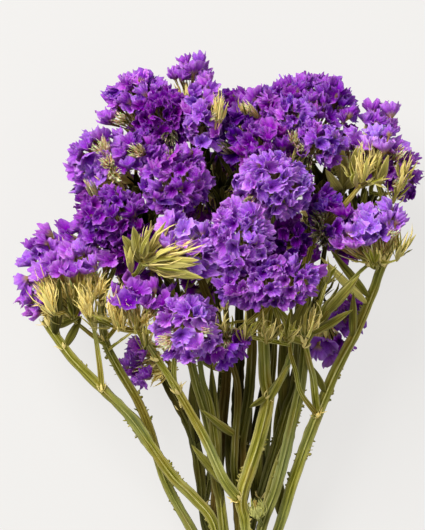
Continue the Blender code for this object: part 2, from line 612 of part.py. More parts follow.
def add_object(name, shape, material, collection=None):
    """The bmesh as an object with that material, in the scene or in a collection."""
    mesh = bpy.data.meshes.new(name)
    shape.to_mesh(mesh)
    shape.free()
    mesh.materials.append(bpy.data.materials[material])
    made = bpy.data.objects.new(name, mesh)
    (collection or bpy.context.scene.collection).objects.link(made)
    return made


def main():
    for old in list(bpy.data.objects):
        bpy.data.objects.remove(old)
    make_material("petal", PURPLE, 0.8)
    make_material("leaf", OLIVE, 0.85)
    make_material("twine", TWINE, 0.9)
    for name in HEADS:
        make_head(name)
    for stem in STEMS:
        make_leafy_stem(stem)
    make_tie()


main()
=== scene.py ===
"""The dried statice bunch in its final looks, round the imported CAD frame.

Every flower head is built again from true-size papery calyces, and every leafy stem from ribbed,
wavy-winged stems with bracts and leaves. Lengths are in millimetres of the bunch (u across, v along,
w up from the side it lies on) until to_row() turns them into metres of the row frame.
"""

import functools
import math
from collections import namedtuple

import bpy
import numpy as np
from mathutils import Matrix, Vector


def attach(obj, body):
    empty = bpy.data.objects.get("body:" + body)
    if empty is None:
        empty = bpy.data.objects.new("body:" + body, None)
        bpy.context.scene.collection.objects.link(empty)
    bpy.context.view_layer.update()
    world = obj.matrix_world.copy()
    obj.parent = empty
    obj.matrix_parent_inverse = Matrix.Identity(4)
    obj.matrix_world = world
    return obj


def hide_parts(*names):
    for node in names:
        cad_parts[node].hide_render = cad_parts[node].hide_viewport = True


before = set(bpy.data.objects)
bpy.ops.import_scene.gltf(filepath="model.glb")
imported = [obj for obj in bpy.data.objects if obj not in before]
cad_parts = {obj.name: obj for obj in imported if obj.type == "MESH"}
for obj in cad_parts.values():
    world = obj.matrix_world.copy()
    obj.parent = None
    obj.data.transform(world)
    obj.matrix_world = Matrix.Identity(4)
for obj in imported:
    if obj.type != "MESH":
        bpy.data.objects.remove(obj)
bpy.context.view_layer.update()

MM = 0.001
BODY = "root"

# ---- layout, the same as the CAD source's

LIE_TILT = math.radians(8)
LIE_HEIGHT = 30.0
CENTRE_U = -10.94
CENTRE_V = 75.68

TIE_V = -38.0
TIE_REACH = 5.0
CUT_V = -112.0
RING_RADIUS = 10.0
CORE_RADIUS = 3.6
CUT_SPREAD = 1.3
TIE_INNER_RADIUS = 13.4
STRAND_RADIUS = 1.2
TIE_TURNS = 3

TIE_WING = 2.9
SPREAD_V = 25.0
TAPER_V = 60.0
LIMB_TOP_SHARE = 0.65
BRANCH_RADIUS = 1.7
BRANCH_END_RADIUS = 1.15
BRANCH_END_SHARE = 0.78
BRANCH_BEND = 0.35
CELL_GAP = 0.35


def listed(kind, rows):
    """The rows as such named tuples, with the tuples in them as arrays."""
    rows = [[np.array(value, float) if isinstance(value, tuple) else value for value in row] for row in rows]
    return [kind(*row) for row in rows]


def named(kind, rows):
    """The same in a dictionary by name."""
    return {made.name: made for made in listed(kind, rows)}


# Stems: the angle at which each stands in the tie, its half width and the share of that left at its top, how
# light (0 to 1) and how warm it is (0 is blue-green and 1 brown), and its route above the tie. The low tones
# of the core stems and of the stems under the bundle are painted shade, darker where they lie deep in the
# bundle.
Stem = namedtuple("Stem", "name angle wing top tone warmth route")
STEMS = named(Stem, [
    ("stem_01", 160, 3.1, 0.9, 0.6, 0.45, [(-14, 0, 3), (-25, 15.5, 5), (-36.5, 27, 7), (-46, 40, 9),
        (-60.5, 61, 13), (-77, 78, 17), (-92.5, 94, 19), (-101, 105, 19), (-109, 117, 17)]),
    ("stem_02", 200, 2.7, 0.8, 0.5, 0.5, [(-28.5, 0, -3), (-42, 25, -4), (-51, 54, -5), (-58, 71, -4),
        (-68, 88, -2), (-76, 105, 0), (-78, 126, 4)]),
    ("stem_03", 80, 3.9, 0.7, 0.68, 0.35, [(3, 0, 13), (0.7, 13, 16), (1.8, 22, 17), (5.4, 33, 16.5),
        (10.7, 50, 16.5), (15.7, 72, 18), (14, 84, 18), (13, 113, 20), (12, 136, 26)]),
    ("stem_05", 120, 2.7, 0.7, 0.4, 0.4, [(-9, 0, 10), (-11.6, 21, 9), (-14, 38, 8), (-18.4, 61, 8.5),
        (-25, 83, 10), (-34, 122, 16), (-40, 144, 20)]),
    ("stem_07", 40, 3.2, 0.7, 0.48, 0.3, [(12.5, 0, 8), (20, 21, 10), (26, 44, 12), (32.5, 72, 15),
        (34.5, 84, 16), (36.5, 105, 19), (38, 142, 22)]),
    ("stem_09", 0, 3.3, 0.8, 0.65, 0.5, [(22.5, 0, 2), (28.4, 20, 4), (36, 43, 6), (44, 64, 8),
        (54, 88, 9.5), (65.7, 111, 11), (74.5, 132, 12), (78.5, 144, 12), (86, 160, 8)]),
    ("stem_10", 240, 3.2, 0.7, 0.12, 0.5, [(-19, 0, -10), (-22, 25, -14), (-26, 48, -18), (-36, 70, -21),
        (-51, 98, -19), (-66, 138, -8)]),
    ("stem_11", 280, 3.6, 0.6, 0.05, 0.45, [(0, 0, -13), (-1, 60, -22), (0, 106, -20), (0, 142, -10)]),
    ("stem_12", 320, 3.3, 0.6, 0.08, 0.5, [(13, 0, -11), (18, 25, -17), (25, 58, -22), (36, 98, -20),
        (46, 136, -10)]),
    ("stem_04", 90, 3.2, 0.6, 0.24, 0.75, [(0, 0, 4), (-1, 15, 3), (0.8, 32, 2), (1, 49, 1.5), (5.6, 77, 1),
        (7, 111, 1), (3, 150, 4), (-1, 188, 8)]),
    ("stem_06", 210, 2.9, 0.7, 0.16, 0.95, [(-13, 0, -3), (-13, 22, -5), (-11, 43, -5.5), (-9.5, 60, -6),
        (-8, 99, -6), (-22, 140, -3), (-36, 188, 0)]),
    ("stem_08", 330, 3.2, 0.6, 0.24, 0.4, [(6.5, 0, -3), (12.7, 18, -1), (20.5, 44, 4), (26.6, 66, 6),
        (32, 84, 6), (34, 130, 1), (38, 178, 0)]),
])
CORE_STEMS = ("stem_04", "stem_06", "stem_08")

# Limbs: the stem that each forks from, its half width and its route.
Limb = namedtuple("Limb", "name stem wing route")
LIMBS = named(Limb, [
    ("limb_01", "stem_01", 1.9, [(-77, 78, 17), (-78, 91, 20), (-80, 105, 23), (-82, 116, 25)]),
    ("limb_03_left", "stem_03", 3.1, [(-1, 17, 17), (-9, 28, 22), (-19, 50, 27), (-34.5, 78, 35),
        (-47, 98, 43)]),
    ("limb_03_right", "stem_03", 2.3, [(15, 74, 18), (25, 88, 23), (29, 108, 29), (27, 134, 32)]),
    ("limb_04", "stem_04", 2.5, [(-0.8, 17, 3), (-3, 32, 6), (-2.5, 49, 7), (-1, 77, 7), (-6, 99, 7),
        (-8, 124, 10)]),
    ("limb_05", "stem_05", 1.5, [(-38, 136, 18.5), (-45, 144, 34), (-52, 148, 50), (-54, 150, 62)]),
    ("limb_05_right", "stem_05", 2.4, [(-14, 38, 8), (-13.5, 49, 11), (-17, 71, 12), (-21, 84, 12),
        (-24, 110, 11)]),
    ("limb_08", "stem_08", 2.4, [(12, 17, -1), (15, 42, -5), (17, 66, -7), (20, 98, -8), (20, 128, -8)]),
    ("limb_09", "stem_09", 2.4, [(44, 64, 8), (42.5, 72, 12), (41, 84, 17), (38, 95, 24), (35, 106, 32)]),
    ("limb_09_left", "stem_09", 1.6, [(43.5, 63, 8), (34, 76, 21), (31, 88, 25), (28, 98, 28), (27, 108, 34)
        ]),
    ("limb_09_right", "stem_09", 1.8, [(36, 103, 30), (50, 126, 33), (63, 140, 34), (71, 148, 34)]),
    ("limb_10", "stem_10", 2.6, [(-20.5, 10, -11.6), (-15, 35, -16), (-12, 60, -17), (-10, 95, -17),
        (-12, 122, -16)]),
    ("limb_11", "stem_11", 2.8, [(0, 8, -14), (7, 32, -16), (9.5, 56, -17), (16, 90, -17), (18, 118, -16)]),
])

# Heads: the limb or stem and where on it the branch leaves, the centre, half sizes and facing, and the angle
# of the long side. Then how far down its sides the calyces go in degrees, how light it is (-1 to 1), how blue
# (-1) or magenta (1), how wide its calyces are, and how many fans of bracts stand side by side under it where
# it opens as a comb. How light a head is stands partly for how light falls on it: the low values of heads in
# recesses and under the bunch are painted shade, and the high values of the brightest heads are painted
# light.
Head = namedtuple("Head", "name limb at centre size facing comb low light hue wide fans", defaults=(0, 1, 0))
HEADS = named(Head, [
    ("head_01", "stem_06", 0.96, (-28, 253, 2), (11, 10, 17), (0, 1, 0.15), 0, 75, 0.5, 0.1, 1.25),
    ("head_02", "stem_06", 0.9, (-59, 238, -2), (20, 15, 19), (-0.45, 0.85, 0.15), 30, 78, 0.5, 0.2, 1.15),
    ("head_03", "stem_06", 1, (-40, 229, 20), (20, 16, 17), (-0.1, 0.5, 0.85), 0, 97, -0.5, 0.4),
    ("head_04", "stem_04", 0.98, (-20, 230, 36), (22, 9.5, 14), (0.05, 0.35, 0.93), 90, 92, 0.5, -0.2, 1.1),
    ("head_05", "stem_02", 1, (-77, 205, 10), (22, 17, 20), (-0.7, 0.5, 0.5), 70, 72, 0.6, 0, 1.3, 3),
    ("head_06", "stem_06", 0.98, (-55, 209, 28), (14, 12, 14), (-0.35, 0.6, 0.7), 0, 80, 0.2),
    ("head_07", "stem_05", 1, (-35, 193, 48), (19, 19, 19), (-0.05, 0.35, 0.93), 20, 97, 0.2, 0.2),
    ("head_08", "stem_02", 0.95, (-71, 173, 34), (20, 17, 18), (-0.35, 0.45, 0.82), 0, 97, -0.2),
    ("head_09", "stem_02", 0.85, (-87, 163, 18), (12, 10, 12), (-0.6, 0.6, 0.5), 0, 70, 0, 0.1, 1.2, 2),
    ("head_10", "stem_01", 0.88, (-108, 154, 4), (15, 11, 15), (-0.5, 0.8, 0.2), 20, 72, 0.5, 0.2, 1.25, 3),
    ("head_11", "limb_01", 1, (-92, 143, 34), (27, 12, 17), (-0.1, 0.85, 0.45), 0, 58, 0.6, 0, 1.15, 6),
    ("head_12", "stem_01", 0.98, (-112, 131, 14), (16, 11, 13), (-0.95, 0.1, 0.3), 90, 70, 0.5, 0.2, 1.2, 4),
    ("head_13", "limb_03_left", 0.98, (-55, 127, 54), (20, 11, 15), (0, 0.85, 0.5), 0, 60, 0.3, 0.2, 1.2, 4),
    ("head_14", "limb_03_left", 0.74, (-29, 113.5, 64), (18.5, 16.5, 17), (0.1, 0, 1),
        90, 97, 0.8, 0.1, 1.15),
    ("head_15", "stem_05", 0.98, (-28, 157, 60), (21, 15, 17), (0.6, 0.55, 0.6), -25, 84, 1, -0.2, 1.35),
    ("head_16", "limb_05_right", 1, (-60, 158, 34), (14, 13, 14), (-0.2, 0.2, 0.95), 0, 92, -0.8),
    ("head_17", "stem_03", 1, (0, 162, 67), (22, 17.5, 19), (0, 0.15, 1), 90, 97, 0.75, 0.3),
    ("head_18", "stem_03", 0.98, (18, 190, 58), (21, 17, 19), (0.1, 0.35, 0.93), -15, 95, 0.7, -0.1),
    ("head_19", "stem_04", 1, (13, 212, 44), (16, 12, 16), (0, 0.5, 0.85), 20, 92, -0.2, 0.5),
    ("head_20", "limb_04", 1, (-2, 218, 30), (14, 12, 15), (-0.1, 0.6, 0.8), 90, 92, -0.6, -1),
    ("head_21", "stem_04", 0.96, (12, 233, 12), (15, 12, 15), (0, 0.9, 0.35), 0, 85, 0.2, 0.2),
    ("head_22", "stem_08", 1, (40, 235, 2), (27, 17, 22), (0.15, 0.95, 0.2), -20, 84, 0.1, -0.1),
    ("head_23", "stem_08", 0.99, (29, 228, 27), (12, 11, 13), (0, 0.6, 0.8), 0, 85, 0.5),
    ("head_24", "stem_08", 0.96, (42, 213, 36), (14, 13, 16), (0.2, 0.5, 0.85), 0, 88, 0.4, -0.3),
    ("head_25", "stem_09", 1, (78, 226, -2), (11, 10, 16), (0.25, 0.95, 0.1), 0, 72, 0.4, 0.3, 1.3, 2),
    ("head_26", "stem_08", 0.92, (60, 211, 14), (12, 10, 15), (-0.15, 0.95, 0.2), 0, 62, 0.9, -0.1, 1.35),
    ("head_27", "stem_09", 0.98, (79, 213, 14), (10, 9, 13), (0.2, 0.95, 0.2), 0, 62, 0.8, 0.1, 1.35, 1),
    ("head_28", "stem_09", 0.92, (88, 200, 3), (17, 12, 15), (0.75, 0.3, 0.55), 90, 78, 0.1),
    ("head_29", "limb_09_right", 1, (71, 163, 42), (29, 13, 18), (-0.3, 0.85, 0.45),
        28, 66, 0.8, -0.1, 1.15, 1),
    ("head_30", "limb_09", 1, (48, 173, 42), (14, 11, 16), (0.25, 0.35, 0.9), 90, 80, -0.3, -0.6),
    ("head_31", "limb_03_right", 1, (25, 160, 44), (12, 11, 16), (0.2, 0, 1), 0, 92, -0.7, -0.4),
    ("head_32", "limb_09_left", 1, (15, 137, 66), (36, 13, 16), (0, 0.3, 0.95), 3, 80, 0.4, 0.1),
    ("head_33", "stem_03", 0.8, (-9, 104, 50), (14, 11, 13), (0.15, -0.6, 0.78), 30, 70, 0, -0.2, 1.15, 2),
    ("head_34", "stem_12", 0.9, (49, 104, -6), (13, 10, 14), (0.1, -0.95, 0.25), 0, 70, 0.4, -0.1, 1.4, 2),
    ("head_35", "stem_12", 0.97, (60, 121, -15), (15, 10, 14), (0.75, -0.35, 0.35), 90, 75, 0.2, -0.2, 1.2),
    ("head_36", "stem_10", 0.46, (-55, 92, -10), (18, 9, 13), (-0.9, -0.15, 0.35),
        90, 72, 0.4, 0.1, 1.25, 3),
    ("head_37", "stem_10", 1, (-76, 190, -20), (19, 17, 18), (-0.75, 0.35, -0.55), 60, 88, -0.5),
    ("head_38", "stem_10", 0.97, (-56, 154, -36), (21, 18, 18), (-0.3, 0.1, -0.95), 0, 88, -0.5, 0.1),
    ("head_39", "stem_10", 0.93, (-92, 138, -16), (17, 14, 16), (-0.85, 0, -0.5), 60, 88, -0.5),
    ("head_40", "limb_10", 1, (-16, 144, -36), (22, 18, 18), (-0.1, 0, -1), 0, 88, -0.5, -0.1),
    ("head_41", "stem_11", 0.98, (-18, 192, -37), (25, 20, 20), (-0.1, 0.1, -1), 0, 88, -0.5, 0.2),
    ("head_42", "stem_06", 0.94, (-46, 226, -30), (19, 16, 17), (-0.4, 0.75, -0.55), 0, 88, -0.5),
    ("head_43", "limb_11", 1, (26, 158, -36), (21, 18, 18), (0.15, 0, -1), 0, 88, -0.5, 0.2),
    ("head_44", "limb_08", 1, (22, 202, -40), (22, 19, 18), (0.1, 0.15, -1), 0, 88, -0.5, -0.1),
    ("head_45", "stem_12", 0.98, (62, 168, -28), (20, 17, 17), (0.6, 0.2, -0.75), 60, 88, -0.5),
    ("head_46", "stem_09", 0.96, (62, 208, -22), (18, 15, 16), (0.65, 0.6, -0.5), 60, 88, -0.5, 0.1),
    ("head_47", "stem_04", 0.92, (0, 232, -18), (18, 15, 17), (0, 0.85, -0.5), 0, 88, -0.5, 0.2),
])

# Leaves: where on a limb, stem or branch each grows, its tip, its width, and how light it is (-1 to 1).
# Light below 0 darkens leaves, most of them low in the bundle between the stems, as painted shade.
Leaf = namedtuple("Leaf", "owner at tip width light", defaults=(0,))
LEAVES = listed(Leaf, [
    ("limb_03_left", 0.08, (-27, 47, 20), 6),
    ("stem_04", 0.26, (-22, 67, 23), 5),
    ("stem_01", 0.87, (-88, 119, 22), 5),
    ("stem_01", 0.93, (-99, 140, 50), 7, -0.2),
    ("stem_01", 0.97, (-88, 119, 30), 6),
    ("stem_03", 0.52, (27, 92, 26), 4),
    ("stem_03", 0.55, (5, 68, 23), 4),
    ("stem_05", 0.62, (-42, 110, 18), 5),
    ("limb_09_right", 0.12, (62, 123, 41), 5),
    ("stem_09", 0.46, (40.5, 91, 19), 4),
    ("limb_09", 0.95, (20, 112, 46), 5),
    ("stem_09", 0.66, (63, 132, 24), 5),
    ("stem_09", 0.8, (50, 156, 26), 5),
    ("stem_09", 0.9, (64, 155, 25), 5),
    ("stem_06", 0.45, (-28, 98, 2), 5),
    ("limb_05", 0.8, (-64, 163, 68), 7, 0.2),
    ("limb_05", 0.92, (-58, 168, 72), 7, 0.25),
    ("limb_05", 0.96, (-50, 166, 76), 5, 0.35),
    ("limb_05", 0.94, (-40, 171, 80), 4, 0.35),
    ("limb_05", 0.96, (-22, 150, 86), 6, 0.4),
    ("limb_05", 0.88, (-20, 140, 84), 7, 0.3),
    ("limb_03_right", 0.5, (18, 118, 36), 5),
    ("limb_09_left", 1, (37, 131, 60), 7, 0.15),
    ("limb_09_right", 0.3, (66, 142, 38), 6, 0.1),
    ("limb_09_right", 0.15, (53, 132, 34), 7),
    ("stem_09", 0.78, (44, 152, 32), 5, 0.5),
    ("head_26", 0.7, (47, 200, 38), 6, 0.35),
    ("head_26", 0.75, (56, 214, 36), 6, 0.35),
    ("head_26", 0.8, (64, 212, 38), 6, 0.35),
    ("head_26", 0.75, (72, 206, 38), 6, 0.35),
    ("head_27", 0.75, (82, 208, 32), 5, 0.35),
    ("stem_05", 0.16, (-16, 92, 6), 7, -0.1),
    ("stem_05", 0.06, (-19, 58, 6), 6, -0.2),
    ("stem_06", 0.1, (-10, 66, -12), 7, -0.35),
    ("stem_04", 0.05, (-7, 58, -6), 8, -0.25),
    ("stem_04", 0.12, (-4, 58, -8), 6, -0.35),
    ("stem_11", 0.2, (7, 72, -10), 7, -0.4),
    ("stem_08", 0.25, (25, 82, -4), 6, -0.3),
    ("stem_08", 0.34, (25, 118, -4), 7, -0.2),
    ("stem_08", 0.05, (11, 54, -6), 8, -0.45),
    ("stem_04", 0.02, (6, 46, -2), 7, -0.45),
    ("stem_07", 0.02, (25, 48, 4), 7, -0.05),
    ("stem_09", 0.02, (21, 34, -2), 7, -0.2),
    ("stem_10", 0.3, (-27, 84, -12), 7, -0.3),
    ("stem_12", 0.2, (31, 78, -12), 7, -0.4),
])

# Brushes of straw-coloured bracts that show between the calyces: the head, where the brush ends, how wide
# it is there, and how light (-1.4 to 1). The brushes below -1 are dark, painted shade in the gaps between
# heads.
Tuft = namedtuple("Tuft", "head tip width light")
TUFTS = listed(Tuft, [
    ("head_12", (-109, 133, 30), 9, 0.4),
    ("head_10", (-106, 142, 24), 7, 0.1),
    ("head_05", (-79, 215, 29), 11, 0.4),
    ("head_05", (-74, 205, 34), 9, 0.6),
    ("head_05", (-69, 197, 34), 9, 0.7),
    ("head_06", (-58, 211, 45), 9, 0.1),
    ("head_08", (-84, 194, 40), 6, -0.5),
    ("head_04", (-11, 238, 50), 6, 0.1),
    ("head_04", (-12, 229, 52), 6, -0.2),
    ("head_23", (1, 237, 34), 5, 0.3),
    ("head_24", (32, 212, 54), 6, 0),
    ("head_26", (67, 213, 30), 6, 0.5),
    ("head_28", (91, 212, 22), 7, 0.4),
    ("head_28", (90, 192, 22), 8, 0),
    ("head_30", (41, 167, 60), 12, -1.4),
    ("head_30", (45, 160, 57), 9, -1.2),
    ("head_18", (3, 181, 76), 5, -0.3),
    ("head_14", (-43, 105, 75), 10, 0.1),
    ("head_14", (-16, 112, 75), 6, -0.2),
    ("head_33", (-5, 112, 62), 6, -0.3),
    ("head_29", (84, 166, 58), 6, 0.2),
    ("head_30", (41, 174, 58), 8, -1.4),
    ("head_33", (-9, 103, 63), 6, -0.3),
    ("head_36", (-46, 94, -2), 6, -0.3),
    ("head_02", (-70, 230, 12), 7, 0.2),
    ("head_03", (-39, 216, 36), 9, -1.2),
    ("head_07", (-40, 211, 52), 6, -1.2),
    ("head_20", (-10, 213, 44), 8, -1.2),
    ("head_24", (28, 218, 52), 8, -0.1),
    ("head_24", (34, 203, 50), 11, -1.2),
    ("head_19", (25, 203, 54), 7, -1.2),
])

# Sprays of small bracts: a twig from that share of a limb, stem or branch to foot, and count bracts from
# there towards tip, spread over that distance round it. light is -1 (dark olive) to 1 (pale straw). The
# darkest sprays, deep in the bundle, are painted shade that fills the gaps between the stems and the heads.
Spray = namedtuple("Spray", "owner at foot tip spread count width light")
SPRAYS = listed(Spray, [
    ("limb_05", 1, (-53, 150, 62), (-42, 168, 78), 11, 13, 4.8, 0.4),
    ("limb_05", 0.95, (-50, 147, 62), (-22, 147, 83), 9, 11, 5.2, 0.35),
    ("limb_05", 0.95, (-46, 150, 66), (-21, 158, 84), 8, 11, 4.2, 0.8),
    ("head_30", 0.9, (65, 190, 37), (71, 203, 42), 18, 15, 5.6, 0.25),
    ("head_30", 0.95, (68, 193, 38), (70, 212, 46), 9, 9, 3.6, 0.7),
    ("head_28", 0.75, (86, 182, 16), (90, 195, 26), 8, 9, 3, 0.2),
    ("head_28", 0.8, (90, 190, 14), (94, 208, 22), 8, 12, 3.2, 0.4),
    ("head_29", 0.8, (86, 150, 44), (91, 168, 57), 8, 10, 3.6, 0.3),
    ("head_29", 0.7, (74, 145, 46), (70, 157, 56), 7, 6, 4.4, 0),
    ("head_11", 0.8, (-102, 120, 42), (-112, 142, 48), 10, 15, 2.6, 0.9),
    ("head_11", 0.8, (-83, 118, 44), (-88, 137, 50), 8, 13, 2.6, 0.8),
    ("head_13", 0.7, (-71, 118, 48), (-63, 136, 58), 8, 13, 2.6, 1),
    ("head_11", 0.8, (-92, 118, 36), (-97, 136, 46), 7, 9, 4, -0.5),
    ("head_11", 0.8, (-80, 112, 38), (-83, 130, 53), 8, 12, 2.8, 0.3),
    ("head_12", 0.8, (-98, 116, 24), (-105, 130, 34), 8, 12, 2.8, 0.2),
    ("head_13", 0.8, (-66, 112, 48), (-68, 128, 68), 8, 13, 2.8, 0.7),
    ("head_13", 0.7, (-68, 113, 50), (-84, 119, 56), 6, 8, 3.2, -0.1),
    ("head_13", 0.7, (-52, 101, 50), (-53, 117, 66), 7, 12, 2.8, 0.2),
    ("head_32", 0.7, (-8, 107, 50), (-9, 121, 72), 7, 9, 3, 0.3),
    ("head_32", 0.7, (2, 104, 48), (3, 120, 76), 8, 10, 3, 0.2),
    ("head_32", 0.7, (14, 105, 48), (15, 119, 76), 8, 10, 3, 0.3),
    ("head_32", 0.7, (25, 106, 48), (28, 120, 75), 8, 10, 3, 0.2),
    ("head_32", 0.8, (36, 108, 44), (41, 124, 70), 8, 10, 3, 0.4),
    ("limb_05", 0.9, (-59, 141, 58), (-61, 166, 74), 6, 5, 5, 0.15),
    ("stem_02", 0.8, (-57, 112, 42), (-50, 118, 54), 4, 5, 3, 0.3),
    ("limb_09_left", 0.9, (-9, 112, 50), (-16, 118, 60), 5, 6, 3, 0.2),
    ("limb_09_right", 0.1, (47, 136, 36), (52, 151, 44), 8, 10, 3.6, 0.1),
    ("stem_02", 0.82, (-92, 116, 24), (-97, 124, 34), 4, 5, 3, 0.3),
    ("stem_06", 0.9, (-52, 186, 8), (-60, 199, 18), 11, 14, 9, -1),
    ("stem_06", 0.84, (-49, 164, 8), (-54, 182, 22), 12, 14, 9, -1),
    ("stem_02", 0.84, (-61, 124, 14), (-55, 140, 28), 11, 12, 7, -1),
    ("stem_05", 0.84, (-40, 122, 14), (-41, 142, 28), 9, 16, 9, -1),
    ("stem_06", 0.97, (-56, 212, 4), (-67, 222, 10), 9, 12, 8, -0.8),
    ("stem_08", 0.9, (46, 184, 4), (46, 205, 14), 14, 16, 9, -1),
    ("stem_08", 0.88, (54, 174, 6), (57, 195, 14), 11, 12, 8, -1),
    ("stem_09", 0.97, (68, 174, 4), (72, 196, 8), 15, 15, 9, -0.8),
    ("limb_09_right", 0.35, (43, 126, 26), (49, 146, 30), 10, 12, 4.5, -0.5),
    ("head_04", 0.8, (-13, 222, 42), (-11, 242, 53), 6, 12, 2.6, 0.6),
    ("head_24", 0.8, (31, 200, 42), (33, 213, 56), 6, 9, 2.6, -0.2),
    ("head_23", 0.8, (4, 228, 26), (0, 238, 38), 5, 8, 2.4, 0.4),
    ("stem_04", 0.95, (-20, 200, 8), (-24, 218, 20), 14, 18, 7, -1),
    ("stem_04", 0.88, (-12, 186, 8), (-14, 202, 22), 13, 16, 7, -1),
    ("stem_04", 0.8, (-10, 174, 14), (-11, 190, 34), 10, 14, 4, -0.9),
    ("stem_08", 0.8, (44, 174, 4), (48, 192, 16), 13, 18, 4, -0.9),
    ("stem_08", 0.7, (38, 160, 14), (41, 176, 34), 11, 16, 3.6, -0.8),
    ("stem_07", 0.9, (30, 138, 26), (30, 154, 34), 10, 14, 4, -0.9),
    ("stem_05", 0.8, (-34, 122, 20), (-36, 140, 32), 11, 14, 4, -0.9),
    ("stem_04", 0.7, (0, 138, 14), (-4, 150, 34), 10, 14, 4, -0.9),
])

BUD_STEM = "stem_07"
BUD_ROUTE = np.array([(12.5, 1, 8.5), (11, 4, 13), (9.2, 9, 18), (8.5, 16, 20)])

# ---- true-size detail

# A calyx as (radius, height) from its foot up the outside to the rim, then down the inside.
CALYX_OUTSIDE = [(0.8, 4.2), (2.6, 7.2), (4.6, 11.0)]
CALYX_INSIDE = [(4.48, 11.08), (3.0, 8.6)]
CALYX_THROAT = 5.0
CALYX_LENGTH = 11.0
CALYX_FLARE_START = 4.2
CALYX_SIDES = 36
CALYX_SCALE = (0.60, 1.16)
CALYX_TILT = 0.74
CALYX_PLEATS = 17

# Waves round a calyx's rim as {waves per turn: how strong}, outward as a share of its radius and upward in
# millimetres, and the fine crinkle on top of them.
RIM_SPREAD = {1: 0.10, 2: 0.16, 3: 0.05, 6: 0.06, 9: 0.08, 13: 0.05}
RIM_LIFT = {1: 0.6, 2: 0.8, 5: 0.4, 8: 1.0, 11: 0.7}
RIM_CRINKLE = 0.05

# How calyces stand in a head: the area each takes, how far out the rims are, the least share of that a
# neighbour may leave, and where the feet are: along and across it as shares of where the rims are, and
# under its centre as a share of its height.
CALYX_AREA = 47.0
CALYX_SHARE = 0.9
BURIED_SHARE = 0.5
FOOT_ALONG = 0.5
FOOT_ACROSS = 0.25
FOOT_DEPTH = 0.62
REPULSION_STEPS = 50

# Heads whose calyces stop short of this angle are combs, with more bracts between the calyces.
COMB_LOW = 75

# How ragged the edges of wings are, and how ragged they have to be for teeth.
STEM_RAGGED = 0.10
LIMB_RAGGED = 0.08
BUD_RAGGED = 0.05
TOOTHED = 0.09

STEM_STEP = 2.6
BRANCH_POINTS = 16
NODE_SCALES = 6
CROWN_BRACTS = 12
BUD_BRACTS = 36
TUFT_DEPTH = 15.0
TUFT_BRACTS_PER_MM = 5
COMB_FAN = {"spread": 6.0, "count": 8, "width": 3.0}
LEAF_FACING = (0, -0.2, 1)

TWINE_STEPS = 220
TWINE_SIDES = 6
TWINE_PLIES = 3
PLY_TWISTS = 26
PLY_OFFSET = STRAND_RADIUS * 0.48
PLY_RADIUS = STRAND_RADIUS * 0.5

HEAD_SEED = 1000
STEM_SEED = 2000
TWINE_SEED = 3000

GOLDEN_TURN = math.pi * (3 - math.sqrt(5))
SPIRAL_TURN = 2.4


def unit(vector):
    """The vector at length 1, as a numpy array."""
    vector = np.array(vector, float)
    return vector / np.linalg.norm(vector)


def square_to(lean, hint):
    """Two directions square to lean and to each other, of which the first is square to hint too."""
    side = unit(np.cross(lean, hint))
    return side, unit(np.cross(lean, side))


def swung(side, over, turn):
    """The direction at that turn from side towards over."""
    return side * math.cos(turn) + over * math.sin(turn)


def to_row(points):
    """Bunch coordinates, in millimetres, as row coordinates in metres."""
    u, v, w = (np.asarray(points, float).reshape(-1, 3) - (CENTRE_U, CENTRE_V, 0)).T
    cos, sin = math.cos(LIE_TILT), math.sin(LIE_TILT)
    return np.stack([u, v * cos - w * sin, (v + CENTRE_V) * sin + w * cos + LIE_HEIGHT], axis=1) * MM


def smooth_path(points, step):
    """Points about step apart along a Catmull-Rom curve through the given points."""
    knots = np.array(points, float)
    knots = np.vstack([2 * knots[0] - knots[1], knots, 2 * knots[-1] - knots[-2]])
    curve = []
    for before, start, end, after in zip(knots, knots[1:], knots[2:], knots[3:]):
        for t in np.linspace(0, 1, 12, endpoint=False):
            curve.append(
                0.5 * (2 * start + (end - before) * t + (2 * before - 5 * start + 4 * end - after) * t**2
                       + (3 * start - before - 3 * end + after) * t**3)
            )
    curve = np.array(curve + [knots[-2]])
    run = path_run(curve)
    wanted = np.linspace(0, run[-1], max(4, round(run[-1] / step)))
    return np.stack([np.interp(wanted, run, curve[:, axis]) for axis in range(3)], axis=1)


def path_run(path):
    """How far along the path each of its points is."""
    return np.concatenate([[0], np.cumsum(np.linalg.norm(np.diff(path, axis=0), axis=1))])


def along(path, share, start_v=None):
    """The point at that share of a path's length, counted from where it passes start_v if that's given."""
    run = path_run(path)
    start = 0 if start_v is None else np.interp(start_v, path[:, 1], run)
    wanted = start + share * (run[-1] - start)
    return np.array([np.interp(wanted, run, path[:, axis]) for axis in range(3)])


def tie_point(stem, v, spread=1.0):
    """Where a stem's centre passes the plane at v inside the bundle."""
    angle = math.radians(STEMS[stem].angle)
    radius = (CORE_RADIUS if stem in CORE_STEMS else RING_RADIUS) * spread
    return (radius * math.cos(angle), v, radius * math.sin(angle))


def limb_path(name):
    """Points along a stem, from its cut end, or along a limb that forks from one."""
    if name in LIMBS:
        return smooth_path(LIMBS[name].route, STEM_STEP)
    cut_v = CUT_V - 4 * math.sin(2.3 * int(name[-2:]))
    tied = [tie_point(name, TIE_V - TIE_REACH), tie_point(name, TIE_V + TIE_REACH)]
    return smooth_path([tie_point(name, cut_v, CUT_SPREAD), *tied, *STEMS[name].route], STEM_STEP)


def stem_of(name):
    """The stem that a limb, a head or the stem itself belongs to."""
    if name in HEADS:
        name = HEADS[name].limb
    return LIMBS[name].stem if name in LIMBS else name


def fork(name, at):
    """(point, direction) where a branch leaves: at runs over a whole limb, or a stem's part above v = 0."""
    path, start_v, step = limb_path(name), None if name in LIMBS else 0, 0.02
    ahead = along(path, min(at + step, 1), start_v) - along(path, min(at, 1 - step), start_v)
    return along(path, at, start_v), unit(ahead)


def growing_point(owner, at):
    """The point at that share of the limb, of the stem or, for a head, of its branch."""
    return along(branch_path(HEADS[owner]), at) if owner in HEADS else fork(owner, at)[0]


